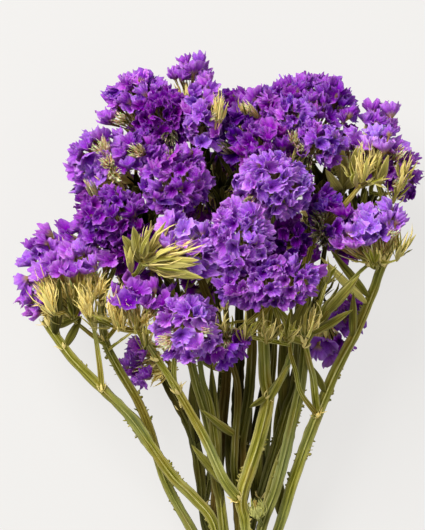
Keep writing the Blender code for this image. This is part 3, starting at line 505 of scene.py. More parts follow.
def head_frame(head):
    """Columns: the head's long, wide and facing directions in bunch coordinates."""
    facing = unit(head.facing)
    long_way = np.array([math.cos(math.radians(head.comb)), math.sin(math.radians(head.comb)), 0])
    long_way = unit(long_way - facing * (long_way @ facing))
    return np.stack([long_way, np.cross(facing, long_way), facing], axis=1)


def reach(head, direction):
    """How far the head's ellipsoid reaches from its centre along a direction."""
    return np.linalg.norm(head_frame(head).T @ direction * head.size)


def cell_planes(head):
    """Planes (normal, distance from the head's centre) that keep a head off its neighbours and the floor."""
    floor = np.array([0, -math.sin(LIE_TILT), -math.cos(LIE_TILT)])
    planes = [(floor, LIE_HEIGHT - head.centre @ floor)]
    for other in HEADS.values():
        if other is head:
            continue
        gap = other.centre - head.centre
        distance = np.linalg.norm(gap)
        direction = gap / distance
        own, theirs = reach(head, direction), reach(other, direction)
        if own + theirs + CELL_GAP > distance:
            planes.append((direction, distance * own / (own + theirs) - CELL_GAP / 2))
    return planes


def cell_share(offset, planes):
    """How much of an offset from the head's centre is inside its cell, as a share."""
    return min([1.0] + [limit / (offset @ normal) for normal, limit in planes if offset @ normal > limit])


def branch_path(head):
    """Points along a curve from the fork to inside the crown under the head."""
    start, leaving = fork(head.limb, head.at)
    facing = unit(head.facing)
    end = head.centre - facing * head.size[2] * BRANCH_END_SHARE
    bend = np.linalg.norm(end - start) * BRANCH_BEND
    near, far = start + leaving * bend, end - facing * bend
    t = np.linspace(0, 1, BRANCH_POINTS)[:, None]
    return start * (1 - t) ** 3 + near * 3 * t * (1 - t) ** 2 + far * 3 * t**2 * (1 - t) + end * t**3


# ---- shells gathered into pieces


def quads_between(low, high, around):
    """Quads that join each ring of points in low to the one in high, both given as ring numbers."""
    k = np.arange(around)
    after = (k + 1) % around
    low, high = low[:, None] * around, high[:, None] * around
    return np.stack([low + k, low + after, high + after, high + k], axis=2).reshape(-1, 4)


@functools.cache
def tube_faces(rings, around):
    """Quads and end triangles of a closed tube of rings, whose two end points come after the rings."""
    steps, k = np.arange(rings), np.arange(around)
    after, last = (k + 1) % around, (rings - 1) * around
    ends = np.concatenate([
        np.stack([np.full(around, rings * around), after, k], axis=1),
        np.stack([np.full(around, rings * around + 1), last + k, last + after], axis=1),
    ])
    return quads_between(steps[:-1], steps[1:], around), ends


def per_point(rings, columns, ends=None):
    """Four numbers for each point of the rings, and for the two ends, where they're as at the first and the
    last point if ends isn't given."""
    values = np.stack([np.broadcast_to(column, rings.shape[:2]) for column in columns], axis=2).reshape(-1, 4)
    return np.vstack([values, values[[0, -1]] if ends is None else ends])


def new_object(name, data):
    """An object that shows the data, in the scene."""
    made = bpy.data.objects.new(name, data)
    bpy.context.scene.collection.objects.link(made)
    return made


class Piece:
    """Closed shells gathered into one mesh. Each point has a look and a grain, four numbers each, which
    the materials read: see petal_material() and leaf_material()."""

    def __init__(self):
        self.points, self.looks, self.grains, self.quads, self.tris, self.count = [], [], [], [], [], 0

    def gather(self, points, looks, grains, quads, tris):
        """Adds one closed shell, whose quads and tris count its own points from 0."""
        self.points.append(points)
        self.looks.append(looks)
        self.grains.append(grains)
        self.quads.append(quads + self.count)
        self.tris.append(tris + self.count)
        self.count += len(points)

    def add_tube(self, rings, ends, looks, grains):
        """rings is (rings, around, 3), and ends is the two end points."""
        points = np.concatenate([rings.reshape(-1, 3), np.reshape(ends, (2, 3))])
        self.gather(points, looks, grains, *tube_faces(*rings.shape[:2]))

    def add_loop(self, rings):
        """A tube that closes on itself. Its material reads neither look nor grain."""
        steps, around = rings.shape[:2]
        blank = np.zeros((steps * around, 4))
        quads = quads_between(np.arange(steps), np.roll(np.arange(steps), -1), around)
        self.gather(rings.reshape(-1, 3), blank, blank, quads, np.zeros((0, 3), int))

    def finish(self, name, node, material):
        """Makes the piece a mesh object that rides on the body and replaces its CAD node."""
        points = to_row(np.concatenate(self.points))
        points[:, 2] = np.maximum(points[:, 2], 0.0)
        quads, tris = np.concatenate(self.quads), np.concatenate(self.tris)
        mesh = bpy.data.meshes.new(name)
        mesh.from_pydata(points, [], [*quads.tolist(), *tris.tolist()], shade_flat=False)
        for title, values in (("look", self.looks), ("grain", self.grains)):
            attribute = mesh.attributes.new(title, "FLOAT_COLOR", "POINT")
            attribute.data.foreach_set("color", np.concatenate(values).astype(np.float32).ravel())
        mesh.materials.append(material)
        made = new_object(name, mesh)
        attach(made, BODY)
        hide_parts(node)


def side_frames(path, first_side):
    """(side, over) directions square to the path at each of its points, without sudden turns."""
    tangents = np.gradient(path, axis=0)
    tangents /= np.linalg.norm(tangents, axis=1)[:, None]
    sides, side = [], unit(first_side)
    for tangent in tangents:
        side = unit(side - tangent * (side @ tangent))
        sides.append(side)
    sides = np.array(sides)
    return sides, np.cross(sides, tangents)


def wave(rng, count, scale):
    """A column of count smooth random values in about -1 to 1, which change over scale steps."""
    knots = rng.uniform(-1, 1, max(4, int(count / scale) + 3))
    return np.interp(np.linspace(0, len(knots) - 1, count), np.arange(len(knots)), knots)[:, None]


# ---- flower heads


def calyx_directions(head, rng):
    """Directions from the head's centre to its calyces, spread evenly over its ellipsoid by repulsion."""
    long, wide, high = head.size
    lowest = math.cos(math.radians(head.low))
    # Thomsen's formula for an ellipsoid's area, of which the calyces cover the share above lowest.
    mean = sum((a * b) ** 1.6 for a, b in ((long, wide), (long, high), (wide, high))) / 3
    area = 4 * math.pi * mean**0.625 * (1 - lowest) / 2
    count = max(7, round(area / (CALYX_AREA * head.wide**2)))
    k = np.arange(count)
    height = 1 - (1 - lowest) * (k + 0.5) / count
    flat = np.sqrt(1 - height**2)
    moving = np.stack([flat * np.cos(k * GOLDEN_TURN), flat * np.sin(k * GOLDEN_TURN), height], axis=1)
    for _ in range(REPULSION_STEPS):
        places = moving * head.size
        gaps = places[:, None] - places[None]
        far = np.linalg.norm(gaps, axis=2) + 1e-9
        push = (gaps / far[..., None] ** 4).sum(axis=1)
        push /= np.linalg.norm(push, axis=1)[:, None] + 1e-9
        moving = (places + 0.3 * push) / head.size
        moving /= np.linalg.norm(moving, axis=1)[:, None]
        low = moving[:, 2] < lowest
        flat = moving[low, :2] / np.linalg.norm(moving[low, :2], axis=1)[:, None]
        moving[low] = np.column_stack([flat * math.sqrt(1 - lowest**2), np.full(low.sum(), lowest)])
    moving += rng.normal(0, 0.05, moving.shape)
    return moving / np.linalg.norm(moving, axis=1)[:, None]


def waves_round(rng, angles, strengths):
    """A sum of waves round a rim: strengths is {waves per turn: how strong}."""
    return sum(
        strength * rng.uniform(0.5, 1.2) * np.cos(waves * angles + rng.uniform(0, 2 * math.pi))
        for waves, strength in strengths.items()
    )


def add_calyx(piece, rng, root, rim, light, hue, scale):
    """One papery calyx: a folded, ruffled funnel whose thin foot starts at root and whose rim is at rim."""
    axis = unit(unit(rim - root) + rng.uniform(-CALYX_TILT, CALYX_TILT, 3))
    profile = np.array(CALYX_OUTSIDE + CALYX_INSIDE)
    radius, height = profile[:, :1] * scale, profile[:, 1:]
    flare = np.clip((height - CALYX_FLARE_START) / (CALYX_LENGTH - CALYX_FLARE_START), 0, 1.02)
    turn = np.linspace(0, 2 * math.pi, CALYX_SIDES, endpoint=False)[None]
    folds, start = rng.choice([3, 4, 4, 5]), rng.uniform(0, 2 * math.pi)
    fold = np.cos(folds * turn + start)
    bent = turn + rng.uniform(-0.15, 0.85) / folds * np.sin(folds * turn + start) * flare
    spread = 1 + flare * (rng.uniform(0.0, 0.15) * fold + waves_round(rng, turn, RIM_SPREAD))
    lift = flare * (rng.uniform(-1.0, 0.8) * fold + waves_round(rng, turn, RIM_LIFT))
    spread = spread + rng.normal(0, RIM_CRINKLE, turn.shape) * (flare > 0.9)
    lift = lift + rng.normal(0, 4 * RIM_CRINKLE, turn.shape) * (flare > 0.9)
    squash = 1 + flare * rng.uniform(-0.3, 0.3)
    side, over = square_to(axis, rng.normal(size=3))
    x = radius * spread * np.cos(bent) * squash
    y = radius * spread * np.sin(bent) / squash
    z = height - CALYX_LENGTH + lift
    bend = flare**2 * rng.uniform(-1.2, 1.2)
    rings = rim + side * (x + bend)[..., None] + over * y[..., None] + axis * z[..., None]
    throat = rim - axis * (CALYX_LENGTH - CALYX_THROAT)
    straw = 1 - np.clip((height - 3.4) / 2.6, 0, 1)
    up = np.minimum(flare, 1)
    inside = (np.arange(len(profile)) >= len(CALYX_OUTSIDE))[:, None]
    # The calyx's tone follows the head's light, partly painted light and shade, with a random part of its
    # own.
    tone = np.clip(0.5 + 0.34 * light + rng.normal(0, 0.06), 0, 1)
    tint = np.clip(0.5 + 0.3 * hue + rng.normal(0, 0.14), 0, 1)
    looks = per_point(rings, (up, tone, tint, straw), [[0, tone, tint, 1], [0.12, tone, tint, 0]])
    grains = per_point(rings, (turn / (2 * math.pi), up, 0.5 + 0.5 * fold, inside),
                       [[0, 0, 0.5, 0], [0, 0, 0.5, 1]])
    piece.add_tube(rings, [root, throat], looks, grains)


def add_needle(piece, rng, foot, tip, width, light, bow, straw=1.0):
    """A slender pointed bract, straw-coloured unless straw says less."""
    run = tip - foot
    length = np.linalg.norm(run)
    side, over = square_to(run, rng.normal(size=3))
    shares = np.array([0.12, 0.5, 0.82])
    rings = []
    for share, broad in zip(shares, (0.55, 1.0, 0.6)):
        middle = foot + run * share + over * length * bow * math.sin(math.pi * share)
        half = width / 2 * broad
        rings.append([middle + side * half, middle + over * half * 0.4, middle - side * half,
                      middle - over * half * 0.4])
    rings = np.array(rings)
    look = (0, np.clip(0.5 + light, 0, 1), rng.uniform(0.3, 0.7), straw)
    grains = per_point(rings, (0, shares[:, None], 0, 0), [[0, 0, 0, 0], [0, 1, 0, 0]])
    piece.add_tube(rings, [foot, tip], per_point(rings, look), grains)


def make_head(head, material):
    """One head of calyces on a short brush of straw-coloured bracts."""
    rng = np.random.default_rng(HEAD_SEED + int(head.name[-2:]))
    axes, planes = head_frame(head), cell_planes(head)
    tufts = [tuft for tuft in TUFTS if tuft.head == head.name]
    piece = Piece()
    for direction in calyx_directions(head, rng):
        local = direction * head.size * (CALYX_SHARE + rng.uniform(-0.07, 0.05))
        share = cell_share(axes @ local, planes)
        if share < BURIED_SHARE:
            continue
        local = local * share
        foot = [local[0] * FOOT_ALONG, local[1] * FOOT_ACROSS, -head.size[2] * FOOT_DEPTH]
        root, rim = head.centre + axes @ foot, head.centre + axes @ local
        if any(np.linalg.norm(rim - tuft.tip) < tuft.width * 0.75 + 1.5 for tuft in tufts):
            continue
        lean = unit(rim - root)
        root = rim - lean * max(CALYX_LENGTH, np.linalg.norm(rim - root))
        add_calyx(piece, rng, root, rim, head.light, head.hue, head.wide * rng.uniform(*CALYX_SCALE))
        sideways = rng.normal(0, 1.5, 3)
        tip = rim - lean * rng.uniform(3.6, 6.0) + sideways
        add_needle(piece, rng, root, tip, 1.1, rng.uniform(-0.2, 0.25), 0.05)
        if head.low < COMB_LOW:
            for _ in range(2):
                tip = rim - lean * rng.uniform(4.5, 8.0) + rng.normal(0, 2.2, 3)
                add_needle(piece, rng, root, tip, 1.2, rng.uniform(0.0, 0.45), 0.08)
    for tuft in tufts:
        add_tuft(piece, rng, head, tuft)
    piece.finish("florets_" + head.name, head.name, material)


def add_tuft(piece, rng, head, tuft):
    """A brush of straw-coloured bracts that fans out from inside the head."""
    axes, tip = head_frame(head), tuft.tip
    along_comb = (tip - head.centre) @ axes[:, 0] * FOOT_ALONG
    root = head.centre + axes[:, 0] * along_comb - axes[:, 2] * FOOT_DEPTH * head.size[2] * 0.7
    root = tip + unit(root - tip) * min(TUFT_DEPTH, np.linalg.norm(root - tip))
    lean = unit(tip - root)
    side, over = square_to(lean, rng.normal(size=3))
    for _ in range(round(TUFT_BRACTS_PER_MM * tuft.width)):
        turn, out = rng.uniform(0, 2 * math.pi), tuft.width / 2 * math.sqrt(rng.uniform(0, 1))
        spread = swung(side, over, turn) * out
        end = tip + spread * 1.15 + lean * rng.uniform(-4.0, 1.5)
        start = root + spread * 0.2
        broad = rng.choice([0.7, 1.0, 1.7], p=[0.4, 0.4, 0.2])
        add_needle(piece, rng, start, end, broad, 0.4 * tuft.light + rng.uniform(-0.25, 0.25), 0.06)


# ---- stems, branches, bracts and leaves


def winged_outline():
    """(x, y) round a stem: two thin wings at x = -1 and 1, a ridge between them and a rib on each wing."""
    half = np.array([0.0, 0.10, 0.2, 0.34, 0.44, 0.54, 0.66, 0.84])
    x = np.concatenate([[1.0], half[:0:-1], [0.0], -half[1:], [-1.0]])
    front = 0.10 + 0.50 * np.exp(-((x / 0.17) ** 2)) + 0.12 * np.exp(-(((np.abs(x) - 0.54) / 0.09) ** 2))
    front[[0, -1]] = 0.0
    back_x = np.array([-0.8, -0.4, -0.14, 0.14, 0.4, 0.8])
    back = -0.10 - 0.28 * np.exp(-((back_x / 0.3) ** 2))
    return np.vstack([np.column_stack([x, front]), np.column_stack([back_x, back])])


STEM_OUTLINE = winged_outline()


def add_stem(piece, rng, path, widths, roll, twist, ragged, tone, warmth=0.5):
    """A winged stem along path, with wavy wing edges."""
    count = len(path)
    sides, overs = side_frames(path, np.cross(path[1] - path[0], (0.0, 0.3, 1.0)))
    turn = (roll + twist * np.linspace(0, 1, count))[:, None]
    side = sides * np.cos(turn) + overs * np.sin(turn)
    over = overs * np.cos(turn) - sides * np.sin(turn)
    x, y = STEM_OUTLINE.T
    rough = ragged * (0.4 + 1.6 * np.clip(wave(rng, count, 14), 0, 1))
    stretch, lift = np.ones((count, len(x))), np.zeros((count, len(x)))
    vee = 0.5 * wave(rng, count, 22)
    for wing in (x > 0, x < 0):
        edge = rough * (wave(rng, count, 1.3) + 0.7 * wave(rng, count, 4))
        curl = 3.0 * rough * wave(rng, count, 1.8)
        stretch[:, wing] += edge * np.abs(x[wing]) ** 2
        lift[:, wing] += curl * np.abs(x[wing]) ** 3
    lift += vee * np.abs(x) - 0.4 * vee
    widths = np.asarray(widths)[:, None] * (1 + 0.05 * wave(rng, count, 6))
    rings = (path[:, None] + side[:, None] * (x * stretch * widths)[..., None]
             + over[:, None] * ((y + lift) * widths)[..., None])
    warmths = np.clip(warmth + 0.4 * wave(rng, count, 9), 0, 1)
    looks = per_point(rings, (np.abs(x), tone, warmths, 0), [[0, tone, 0.9, 0.6], [0, tone, 0.9, 0.0]])
    # The third grain is the height of the outline, which the leaf material paints as shade: lighter on the
    # ridge, darker on the wings and the back.
    grains = per_point(rings, (x * widths, path_run(path)[:, None], (y - 0.1) / 0.4, rng.uniform(0, 50)))
    piece.add_tube(rings, [path[0], path[-1]], looks, grains)
    if ragged > TOOTHED:
        for outward in (1, -1):
            edge = rings[:, np.abs(x - outward).argmin()]
            add_teeth(piece, rng, edge, side * outward, tone)


def add_teeth(piece, rng, edge, outward, tone):
    """Small dry teeth in some stretches of a wing's edge, which is given ring by ring."""
    torn = wave(rng, len(edge), 7) > 0.5
    for low, high, out, here in zip(edge, edge[1:], outward, torn):
        for _ in range(rng.integers(0, 3) if here else 0):
            foot = low + (high - low) * rng.uniform() - out * 0.6
            tip = foot + out * rng.uniform(0.6, 2.4) + unit(high - low) * rng.uniform(-0.6, 2.2)
            add_needle(piece, rng, foot, tip, rng.uniform(1.0, 2.4), tone - 0.4, 0.0, rng.uniform(0, 0.4))


def add_blade(piece, rng, foot, tip, width, bow, tone, straw, facing, stations=6, thickness=0.35, warmth=0.5):
    """A lance-shaped blade from foot to tip with a keel, wavy margins and a pale straw edge."""
    run = tip - foot
    length = np.linalg.norm(run)
    lean = run / length
    over = unit(facing - lean * (np.asarray(facing) @ lean))
    side = np.cross(lean, over)
    share = np.linspace(0.06, 0.975, stations)[:, None]
    broad = np.sin(math.pi * share**0.8) ** 0.75 * width / 2
    middle = foot + run * share + over * length * bow * np.sin(math.pi * share)
    waves = 0.10 * width * np.sin(share * rng.uniform(8, 14) + rng.uniform(0, 6))
    x = np.array([1.0, 0.5, 0.0, -0.5, -1.0, -0.5, 0.0, 0.5])
    y = np.array([0.0, 1.0, 1.0, 1.0, 0.0, -1.0, -1.0, -1.0]) * thickness / 2
    keel = (1 - np.abs(x)) * -0.22
    rings = (middle[:, None] + side * (broad * x)[..., None]
             + over * (y * np.minimum(1, broad) + keel * broad * 0.8 + waves * np.abs(x) ** 2)[..., None])
    looks = per_point(rings, (np.abs(x), tone, warmth, straw),
                      [[0.2, tone, warmth, straw], [1, tone, warmth, straw]])
    grains = per_point(rings, (x * broad, share * length, 0, rng.uniform(0, 50)))
    piece.add_tube(rings, [foot, tip], looks, grains)


def add_node_scales(piece, rng, path, width):
    """The dry scales round the fork where a path starts, and a few thin ones that stand out from it."""
    point, direction = path[0], unit(path[1] - path[0])
    side, over = square_to(direction, rng.normal(size=3))
    for k in range(NODE_SCALES):
        out = swung(side, over, k * 2 * math.pi / NODE_SCALES + rng.uniform(-0.3, 0.3))
        foot = point - direction * 2.0 + out * width * 0.4
        tip = point + direction * rng.uniform(1.5, 5.0) + out * (width * 0.75 + rng.uniform(0.6, 2.6))
        add_blade(piece, rng, foot, tip, rng.uniform(1.4, 2.6), 0.08, rng.uniform(0.7, 1.1), 0.9, out,
                  stations=5, thickness=0.3)
        if rng.uniform() < 0.3:
            thorn = point + out * (width + rng.uniform(2.5, 6.0)) + direction * rng.uniform(-1.0, 3.0)
            add_needle(piece, rng, point, thorn, 0.8, 0.4, 0.08)


def add_crown(piece, rng, head):
    """Bracts round the foot of a head, some leaf-like and some straw-coloured."""
    axes, (long, wide, high) = head_frame(head), head.size
    foot = head.centre - axes[:, 2] * high * BRANCH_END_SHARE
    for k in range(CROWN_BRACTS + round((long - 10) * 0.7)):
        turn = SPIRAL_TURN * k + rng.uniform(-0.3, 0.3)
        outward = swung(axes[:, 0] * long, axes[:, 1] * wide, turn) * 0.5
        start = foot + outward * 0.5 * rng.uniform(0.3, 0.9) + axes[:, 2] * high * 0.04
        rise = axes[:, 2] * high * rng.uniform(0.3, 0.85)
        lean = unit(outward * rng.uniform(0.45, 1.0) + rise)
        tip = start + lean * rng.uniform(9.0, 14.5)
        straw = rng.uniform(0.0, 0.9)
        add_blade(piece, rng, start - lean, tip, rng.uniform(2.4, 4.2) - straw, 0.07, rng.uniform(0.5, 1.1),
                  straw, outward)


def add_twig(piece, rng, base, foot, lean):
    """A thin twig from base to where a fan of bracts starts, if that's some way off."""
    if np.linalg.norm(foot - base) > 2.0:
        path = smooth_path([base, (base + foot) / 2 - lean * 2.0, foot, foot + lean * 2.0], 2.0)
        add_stem(piece, rng, path, np.linspace(1.5, 1.0, len(path)), 0.0, 0.4, LIMB_RAGGED, 0.8, 0.6)


def add_fan(piece, rng, foot, tip, spread, count, width, light):
    """Leaf-like bracts, and straw-coloured needles among them, that fan out from foot towards tip."""
    lean = unit(tip - foot)
    side, over = square_to(lean, rng.normal(size=3))
    for k in range(count):
        out = math.sqrt((k + 0.5) / count)
        sideways = swung(side, over, SPIRAL_TURN * k) * out
        start = foot + lean * rng.uniform(-2.0, 8.0) * (1 - 0.6 * out)
        start += sideways * spread * rng.uniform(0.1, 0.4)
        end = foot + (tip - foot) * rng.uniform(0.5, 1.08) * (1 - 0.2 * out) + sideways * spread
        straw = np.clip(0.1 + 0.3 * light + rng.uniform(-0.3, 0.3), 0, 1)
        # A low light darkens the bracts: painted shade for the dark sprays deep in the bundle.
        tone = np.clip(0.68 + 0.55 * light + rng.uniform(-0.25, 0.25), 0.05, 1.4)
        broad = width * rng.uniform(0.4, 0.9)
        add_blade(piece, rng, start, end, broad, rng.uniform(-0.18, 0.18), tone, straw, sideways + lean * 0.2,
                  stations=5)
    for _ in range(round(count * np.clip(4 * light - 0.6, 0, 2))):
        sideways = unit(rng.normal(size=3)) * rng.uniform(0.3, 1.0)
        end = foot + (tip - foot) * rng.uniform(0.5, 1.0) + sideways * spread
        start = foot + lean * rng.uniform(0.0, 7.0) + sideways * spread * 0.25
        broad = rng.uniform(0.7, 1.6)
        add_needle(piece, rng, start, end, broad, 0.2 + 0.35 * light, rng.uniform(-0.22, 0.22), 0.8)


def add_comb_fans(piece, rng, head):
    """Fans of bracts side by side under a comb, each on a twig from the end of the comb's branch."""
    axes, (long, wide, high) = head_frame(head), head.size
    base = along(branch_path(head), 0.85)
    for k in range(head.fans):
        x = (2 * (k + 0.5) / head.fans - 1) * long
        foot = head.centre + axes @ [x * 0.55, -wide * rng.uniform(0.1, 0.5), -high * rng.uniform(0.85, 1.25)]
        tip = head.centre + axes @ [x * 0.85, -wide * rng.uniform(0.3, 0.9), high * rng.uniform(0.0, 0.35)]
        add_twig(piece, rng, base, foot, unit(tip - foot))
        add_fan(piece, rng, foot, tip, **COMB_FAN, light=rng.uniform(0.4, 1.0))


def add_branch(piece, rng, head, tone):
    """The branch to a head, with the scales at its fork and the bracts under the head."""
    path = branch_path(head)
    widths = np.linspace(BRANCH_RADIUS, BRANCH_END_RADIUS, len(path))
    add_stem(piece, rng, path, widths, rng.uniform(-0.5, 0.5), 0.6, STEM_RAGGED, tone)
    add_node_scales(piece, rng, path, BRANCH_RADIUS * 1.5)
    add_crown(piece, rng, head)
    add_comb_fans(piece, rng, head)


def add_leaf(piece, rng, leaf):
    """One of the leaves."""
    base = growing_point(leaf.owner, leaf.at)
    # A low light darkens the leaf: painted shade for the dark leaves in the bundle.
    tone, straw = rng.uniform(0.4, 0.7) + leaf.light, 0.05 + 0.4 * max(0, leaf.light)
    add_blade(piece, rng, base, leaf.tip, leaf.width, 0.06, tone, straw, LEAF_FACING, stations=12,
              thickness=0.6)


def add_spray(piece, rng, spray):
    """A twig that ends in a fan of small bracts."""
    base = growing_point(spray.owner, spray.at)
    add_twig(piece, rng, base, spray.foot, unit(spray.tip - spray.foot))
    add_fan(piece, rng, spray.foot, spray.tip, spray.spread, spray.count, spray.width, spray.light)


def add_bud(piece, rng):
    """The small unopened head low on the bundle: green bracts that close over each other."""
    path = smooth_path(BUD_ROUTE, 1.2)
    add_stem(piece, rng, path, np.linspace(1.3, 1.0, len(path)), 0, 0.5, BUD_RAGGED, 0.6)
    base, lean = BUD_ROUTE[1], unit(BUD_ROUTE[3] - BUD_ROUTE[1])
    side, over = square_to(lean, (1, 0, 0.2))
    for k in range(BUD_BRACTS):
        out, level = swung(side, over, SPIRAL_TURN * k), k / BUD_BRACTS
        foot = base + lean * (2.0 + 4.0 * level) + out * 1.5
        tip = base + lean * rng.uniform(8.0, 14.5) + out * rng.uniform(2.6, 5.4) * (1.1 - 0.5 * level)
        add_blade(piece, rng, foot, tip, 1.9, 0.2, rng.uniform(1.0, 1.4), 0.15, out, warmth=0.0)


def make_leafy_stem(stem, material):
    """One stem with its limbs, branches, bracts, leaves and node scales."""
    number = int(stem.name[-2:])
    rng = np.random.default_rng(STEM_SEED + number)
    piece = Piece()
    path = limb_path(stem.name)
    v = path[:, 1]
    widths = TIE_WING + (stem.wing - TIE_WING) * np.clip(v / SPREAD_V, 0, 1)
    widths *= 1 - (1 - stem.top) * np.clip((v - TAPER_V) / (v[-1] - TAPER_V), 0, 1)
    roll = 0.35 * math.sin(5.1 * number)
    add_stem(piece, rng, path, widths, roll, -1.6 * roll, STEM_RAGGED, stem.tone, stem.warmth)
    for limb in LIMBS.values():
        if limb.stem == stem.name:
            path = limb_path(limb.name)
            widths = limb.wing * np.linspace(1, LIMB_TOP_SHARE, len(path))
            add_stem(piece, rng, path, widths, 0.2, 0.3, LIMB_RAGGED, stem.tone, stem.warmth)
            add_node_scales(piece, rng, path, limb.wing)
    for head in HEADS.values():
        if stem_of(head.name) == stem.name:
            add_branch(piece, rng, head, stem.tone)
    for leaf in LEAVES:
        if stem_of(leaf.owner) == stem.name:
            add_leaf(piece, rng, leaf)
    for spray in SPRAYS:
        if stem_of(spray.owner) == stem.name:
            add_spray(piece, rng, spray)
    if stem.name == BUD_STEM:
        add_bud(piece, rng)
    piece.finish("growth_" + stem.name, "leafy_" + stem.name, material)


def make_tie(material):
    """The twine: turns of three twisted plies, round the bundle side by side."""
    rng = np.random.default_rng(TWINE_SEED)
    piece = Piece()
    turn = np.linspace(0, 2 * math.pi, TWINE_STEPS, endpoint=False)
    across = np.linspace(0, 2 * math.pi, TWINE_SIDES, endpoint=False)
    out = np.stack([np.cos(turn), 0 * turn, np.sin(turn)], axis=1)
    for strand in range(TIE_TURNS):
        level = (strand - (TIE_TURNS - 1) / 2) * 2 * STRAND_RADIUS
        middle_radius = TIE_INNER_RADIUS + STRAND_RADIUS + 0.12 * np.sin(5 * turn + strand)
        for ply in range(TWINE_PLIES):
            lay = PLY_TWISTS * turn + 2 * math.pi * ply / TWINE_PLIES
            radius = middle_radius + PLY_OFFSET * np.cos(lay)
            height = TIE_V + level + PLY_OFFSET * np.sin(lay)
            centre = np.stack([radius * np.cos(turn), height, radius * np.sin(turn)], axis=1)
            thick = PLY_RADIUS * (1 + 0.08 * wave(rng, TWINE_STEPS, 4))
            piece.add_loop(centre[:, None] + out[:, None] * (np.cos(across) * thick)[..., None]
                           + np.array([0, 1.0, 0]) * (np.sin(across) * thick)[..., None])
    piece.finish("twine", "twine_tie", material)


# ---- materials


class Nodes:
    """Short calls that add and link nodes of one material."""

    def __init__(self, name):
        self.material = bpy.data.materials.new(name)
        self.material.use_nodes = True
        self.tree = self.material.node_tree

    def add(self, kind, inputs=None, **settings):
        node = self.tree.nodes.new("ShaderNode" + kind)
        for key, value in settings.items():
            setattr(node, key, value)
        self.put(node, inputs or {})
        return node

    def put(self, node, inputs):
        """Gives the node's inputs their values, or links the sockets given for them."""
        for key, value in inputs.items():
            if isinstance(value, bpy.types.NodeSocket):
                self.tree.links.new(value, node.inputs[key])
            else:
                node.inputs[key].default_value = value

    def shader(self, colour, roughness, specular, **more):
        """Sets the material's own shader. In the names of more inputs, _ stands for a space."""
        inputs = {"Base Color": colour, "Roughness": roughness, "Specular IOR Level": specular}
        inputs.update({key.replace("_", " "): value for key, value in more.items()})
        self.put(self.tree.nodes["Principled BSDF"], inputs)
        return self.material

    def attribute(self, title):
        """The red, green and blue of a colour attribute, and its alpha."""
        source = self.add("Attribute", attribute_name=title)
        split = self.add("SeparateColor", {"Color": source.outputs["Color"]})
        return [*split.outputs[:3], source.outputs["Alpha"]]

    def math(self, operation, a, b=0.5):
        return self.add("Math", {0: a, 1: b}, operation=operation).outputs[0]

    def times(self, a, b):
        return self.math("MULTIPLY", a, b)

    def plus(self, a, b):
        return self.math("ADD", a, b)

    def line(self, value, gain, start):
        return self.plus(self.times(value, gain), start)

    def ramp(self, factor, stops):
        """A colour for each factor. stops is {factor: colour}, from the lowest factor up."""
        node = self.add("ValToRGB", {"Fac": factor})
        elements = node.color_ramp.elements
        while len(elements) < len(stops):
            elements.new(0.5)
        for element, (place, colour) in zip(elements, stops.items()):
            element.position = place
            element.color = (*colour, 1)
        return node.outputs["Color"]

    def rise(self, factor, low, high):
        """From 0 where factor is low to 1 where it's high."""
        return self.ramp(factor, {low: (0, 0, 0), high: (1, 1, 1)})

    def fall(self, factor, low, high):
        """From 1 where factor is low to 0 where it's high."""
        return self.ramp(factor, {low: (1, 1, 1), high: (0, 0, 0)})

    def mix(self, factor, a, b):
        """a where factor is 0, b where it's 1. b may be a plain colour."""
        b = b if isinstance(b, bpy.types.NodeSocket) else (*b, 1)
        return self.add("Mix", {0: factor, 6: a, 7: b}, data_type="RGBA").outputs[2]

    def shade(self, colour, value, hue=0.5, saturation=1.0):
        inputs = {"Hue": hue, "Saturation": saturation, "Value": value, "Color": colour}
        return self.add("HueSaturation", inputs).outputs["Color"]

    def noise(self, vector, scale, detail, roughness=0.6):
        inputs = {"Vector": vector, "Scale": scale, "Detail": detail, "Roughness": roughness}
        return self.add("TexNoise", inputs).outputs["Fac"]

    def place(self):
        return self.add("TexCoord").outputs["Object"]

    def vector(self, x, y, z=0.0):
        return self.add("CombineXYZ", {0: x, 1: y, 2: z}).outputs[0]

    def bump(self, height, strength, distance):
        inputs = {"Height": height, "Strength": strength, "Distance": distance}
        return self.add("Bump", inputs).outputs["Normal"]


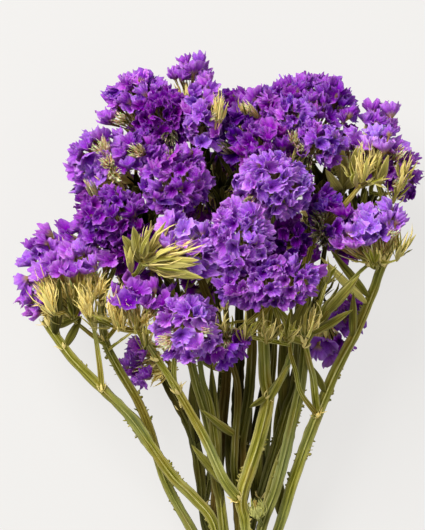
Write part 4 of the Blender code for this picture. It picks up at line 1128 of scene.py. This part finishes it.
def petal_material():
    """Papery purple calyx on a straw-coloured tube. Its colour falls to near black down the throat and
    towards the foot of the outside, painted shade, and is a little paler at the rim, a painted highlight.

    look: how far up the funnel, light, hue, straw. grain: round, up, fold, inside."""
    n = Nodes("petal_paper")
    up, light, hue, straw = n.attribute("look")
    around, run, fold, inside = n.attribute("grain")
    # Both ramps fall to near black towards up = 0: painted shade in the hollow of each funnel and under the
    # calyces. The slight paling at up = 1 is a painted highlight on the rim.
    throat = n.ramp(up, {0.0: (0.014, 0.001, 0.036), 0.26: (0.140, 0.012, 0.300), 0.52: (0.325, 0.085, 0.585),
                         0.85: (0.370, 0.145, 0.605), 1.0: (0.375, 0.185, 0.590)})
    flank = n.ramp(up, {0.0: (0.030, 0.003, 0.070), 0.35: (0.180, 0.032, 0.380), 0.70: (0.345, 0.115, 0.605),
                        1.0: (0.380, 0.185, 0.595)})
    paper = n.mix(inside, flank, throat)
    streak = n.noise(n.vector(n.times(around, 19.0), n.times(up, 1.3)), 1.0, 2.0)
    turns = n.plus(n.times(around, 2 * math.pi * CALYX_PLEATS), n.times(streak, 9.0))
    streak = n.plus(streak, n.times(n.math("SINE", turns), 0.10))
    # Dark violet where the streak is high: painted shade along the pleats.
    paper = n.mix(n.times(n.rise(streak, 0.42, 0.75), 0.3), paper, (0.085, 0.006, 0.21))
    # Pale violet near the rim where the streak is low: painted highlight on the crests of the pleats, partly
    # pale veins.
    vein_and_crest_highlight = n.times(n.fall(streak, 0.26, 0.42), n.math("POWER", up, 3.0))
    paper = n.mix(n.times(vein_and_crest_highlight, 0.3), paper, (0.52, 0.33, 0.70))
    # The value follows the calyx's tone, partly painted light and shade, and rises by 0.2 on the outward
    # lobes of each fold: painted shade in the fold troughs.
    value = n.plus(n.plus(n.times(light, 1.5), n.times(fold, 0.2)), 0.03)
    # Saturation falls as the tone rises: partly paler, faded calyces, partly deep painted shade and paler
    # painted light.
    fade_and_shade_saturation = n.math("SUBTRACT", 1.40, n.times(light, 0.56))
    paper = n.shade(paper, value, n.line(hue, 0.08, 0.473), fade_and_shade_saturation)
    grain = n.noise(n.place(), 700.0, 3.0)
    dry = n.ramp(n.plus(n.times(run, 0.75), n.times(grain, 0.5)),
                 {0.15: (0.26, 0.16, 0.035), 0.5: (0.56, 0.42, 0.14), 0.9: (0.86, 0.75, 0.42)})
    # A low light darkens the straw. For the darkest brushes between heads this is painted shade.
    dry = n.shade(dry, n.line(light, 1.75, 0.12))
    return n.shader(n.mix(straw, paper, dry), 0.85, 0.08, Subsurface_Weight=0.8,
                    Subsurface_Radius=(0.0022, 0.0010, 0.0026),
                    Normal=n.bump(n.plus(streak, n.times(grain, 0.3)), 0.6, 0.0010))


def leaf_material():
    """Dry olive stems and leaves with straw-coloured margins and fine ribs along them. Pale ribs with
    near-black grooves between them are partly striped colour and partly painted shade, and the low parts of
    each stem's outline are darker, painted shade.

    look: edge, tone, blue-green to brown, straw. grain: across and along in millimetres, height, seed."""
    n = Nodes("leaf_dry")
    edge, tone, warmth, straw = n.attribute("look")
    across, run, ridge, seed = n.attribute("grain")
    ribs = n.noise(n.vector(n.times(across, 2.6), n.times(run, 0.05), seed), 1.0, 3.0, 0.7)
    patch = n.noise(n.vector(n.times(across, 0.25), n.times(run, 0.045), seed), 1.0, 2.0)
    # The level comes from the ribs, partly painted shade in their grooves, from the ridge, the outline's
    # height as painted shade, and from the brown patches.
    level = n.plus(n.plus(n.times(ribs, 0.75), n.times(ridge, 0.13)), n.times(patch, 0.25))
    green = n.ramp(level, {0.32: (0.012, 0.012, 0.001), 0.46: (0.105, 0.104, 0.003),
                           0.60: (0.320, 0.305, 0.036), 0.75: (0.720, 0.670, 0.290)})
    green = n.mix(n.times(n.rise(patch, 0.52, 0.72), 0.5), green, (0.26, 0.14, 0.020))
    green = n.mix(n.times(n.math("POWER", edge, 4.0), 0.7), green, (0.68, 0.62, 0.24))
    green = n.mix(n.times(n.fall(warmth, 0.0, 0.45), 0.45), green, (0.25, 0.31, 0.12))
    green = n.mix(n.times(n.rise(warmth, 0.55, 1.0), 0.6), green, (0.34, 0.19, 0.035))
    green = n.mix(straw, green, (0.72, 0.59, 0.23))
    # The tone sets the value. Its low values on the core stems, the stems under the bundle and the dark
    # leaves and sprays among them are painted shade.
    return n.shader(n.shade(green, n.line(tone, 1.8, 0.03)), 0.8, 0.08, Normal=n.bump(ribs, 0.5, 0.0005))


def twine_material():
    """Rough natural twine."""
    n = Nodes("twine_jute")
    fibre = n.noise(n.place(), 1500.0, 4.0, 0.7)
    colour = n.ramp(fibre, {0.3: (0.25, 0.16, 0.08), 0.7: (0.60, 0.46, 0.28)})
    return n.shader(colour, 0.9, 0.5, Normal=n.bump(fibre, 0.7, 0.0006))


def floor_material():
    """A floor that glows a little, as bright as the pale wall behind the real bunch."""
    return Nodes("studio_floor").shader((0.12, 0.119, 0.117, 1), 0.9, 0.1, Emission_Strength=0.74,
                                        Emission_Color=(1.0, 0.983, 0.958, 1))


# ---- stage, lights and camera

# The floor and the lights are in metres of the row frame. A light is its place, power and colour.
FLOOR_REACH = 3.0
WORLD_COLOUR = (0.97, 0.98, 1.0, 1)
WORLD_STRENGTH = 0.26
LIGHT_TARGET = (0, 0.05, 0.05)
LIGHTS = {"key": ((-1.1, 1.2, 2.0), 84.0, (1.0, 0.99, 0.97)),
          "fill": ((1.2, -0.6, 2.2), 8.0, (0.95, 0.97, 1.0))}
LIGHT_SIZE = 1.6

# The camera, in millimetres of the bunch and pixels of the photograph.
PIXELS_PER_MM = 1.8
FRAME_PIXELS = (425, 530)
PHOTO_ORIGIN = (240, 530)
CAMERA_DISTANCE = 1500.0
CAMERA_LEVEL_W = 25.0
UP_W = Vector((0, -math.sin(LIE_TILT), math.cos(LIE_TILT)))


def make_floor():
    corners = [(x * FLOOR_REACH, y * FLOOR_REACH, 0) for x, y in ((-1, -1), (1, -1), (1, 1), (-1, 1))]
    mesh = bpy.data.meshes.new("studio_floor")
    mesh.from_pydata(corners, [], [(0, 1, 2, 3)])
    mesh.materials.append(floor_material())
    floor = new_object("studio_floor", mesh)


def make_light(name, place, power, colour):
    """A square light at place that faces the bunch."""
    data = bpy.data.lights.new(name, "AREA")
    data.energy, data.size, data.color = power, LIGHT_SIZE, colour
    made = new_object(name, data)
    made.location = place
    made.rotation_euler = (Vector(place) - Vector(LIGHT_TARGET)).to_track_quat("Z", "Y").to_euler()


def make_camera():
    """Looks down on the lying bunch, square to its length, with the photograph's framing."""
    across, up = FRAME_PIXELS
    middle = ((across / 2 - PHOTO_ORIGIN[0]) / PIXELS_PER_MM, (PHOTO_ORIGIN[1] - up / 2) / PIXELS_PER_MM,
              CAMERA_LEVEL_W)
    target = Vector(to_row(middle)[0])
    data = bpy.data.cameras.new("camera")
    data.sensor_fit = "VERTICAL"
    data.angle_y = 2 * math.atan(up / PIXELS_PER_MM / 2 / CAMERA_DISTANCE)
    made = new_object("camera", data)
    right = Vector((1, 0, 0))
    rotation = Matrix((right, UP_W.cross(right), UP_W)).transposed().to_4x4()
    made.matrix_world = Matrix.Translation(target + UP_W * CAMERA_DISTANCE * MM) @ rotation
    bpy.context.scene.camera = made


def make_world():
    world = bpy.data.worlds.new("studio")
    world.use_nodes = True
    background = world.node_tree.nodes["Background"]
    background.inputs[0].default_value = WORLD_COLOUR
    background.inputs[1].default_value = WORLD_STRENGTH
    bpy.context.scene.world = world
    bpy.context.scene.view_settings.view_transform = "Standard"


def main():
    make_camera()
    make_world()
    make_floor()
    for name, light in LIGHTS.items():
        make_light(name, *light)
    petal, leaf, twine = petal_material(), leaf_material(), twine_material()
    for head in HEADS.values():
        make_head(head, petal)
    for stem in STEMS.values():
        make_leafy_stem(stem, leaf)
    make_tie(twine)


main()
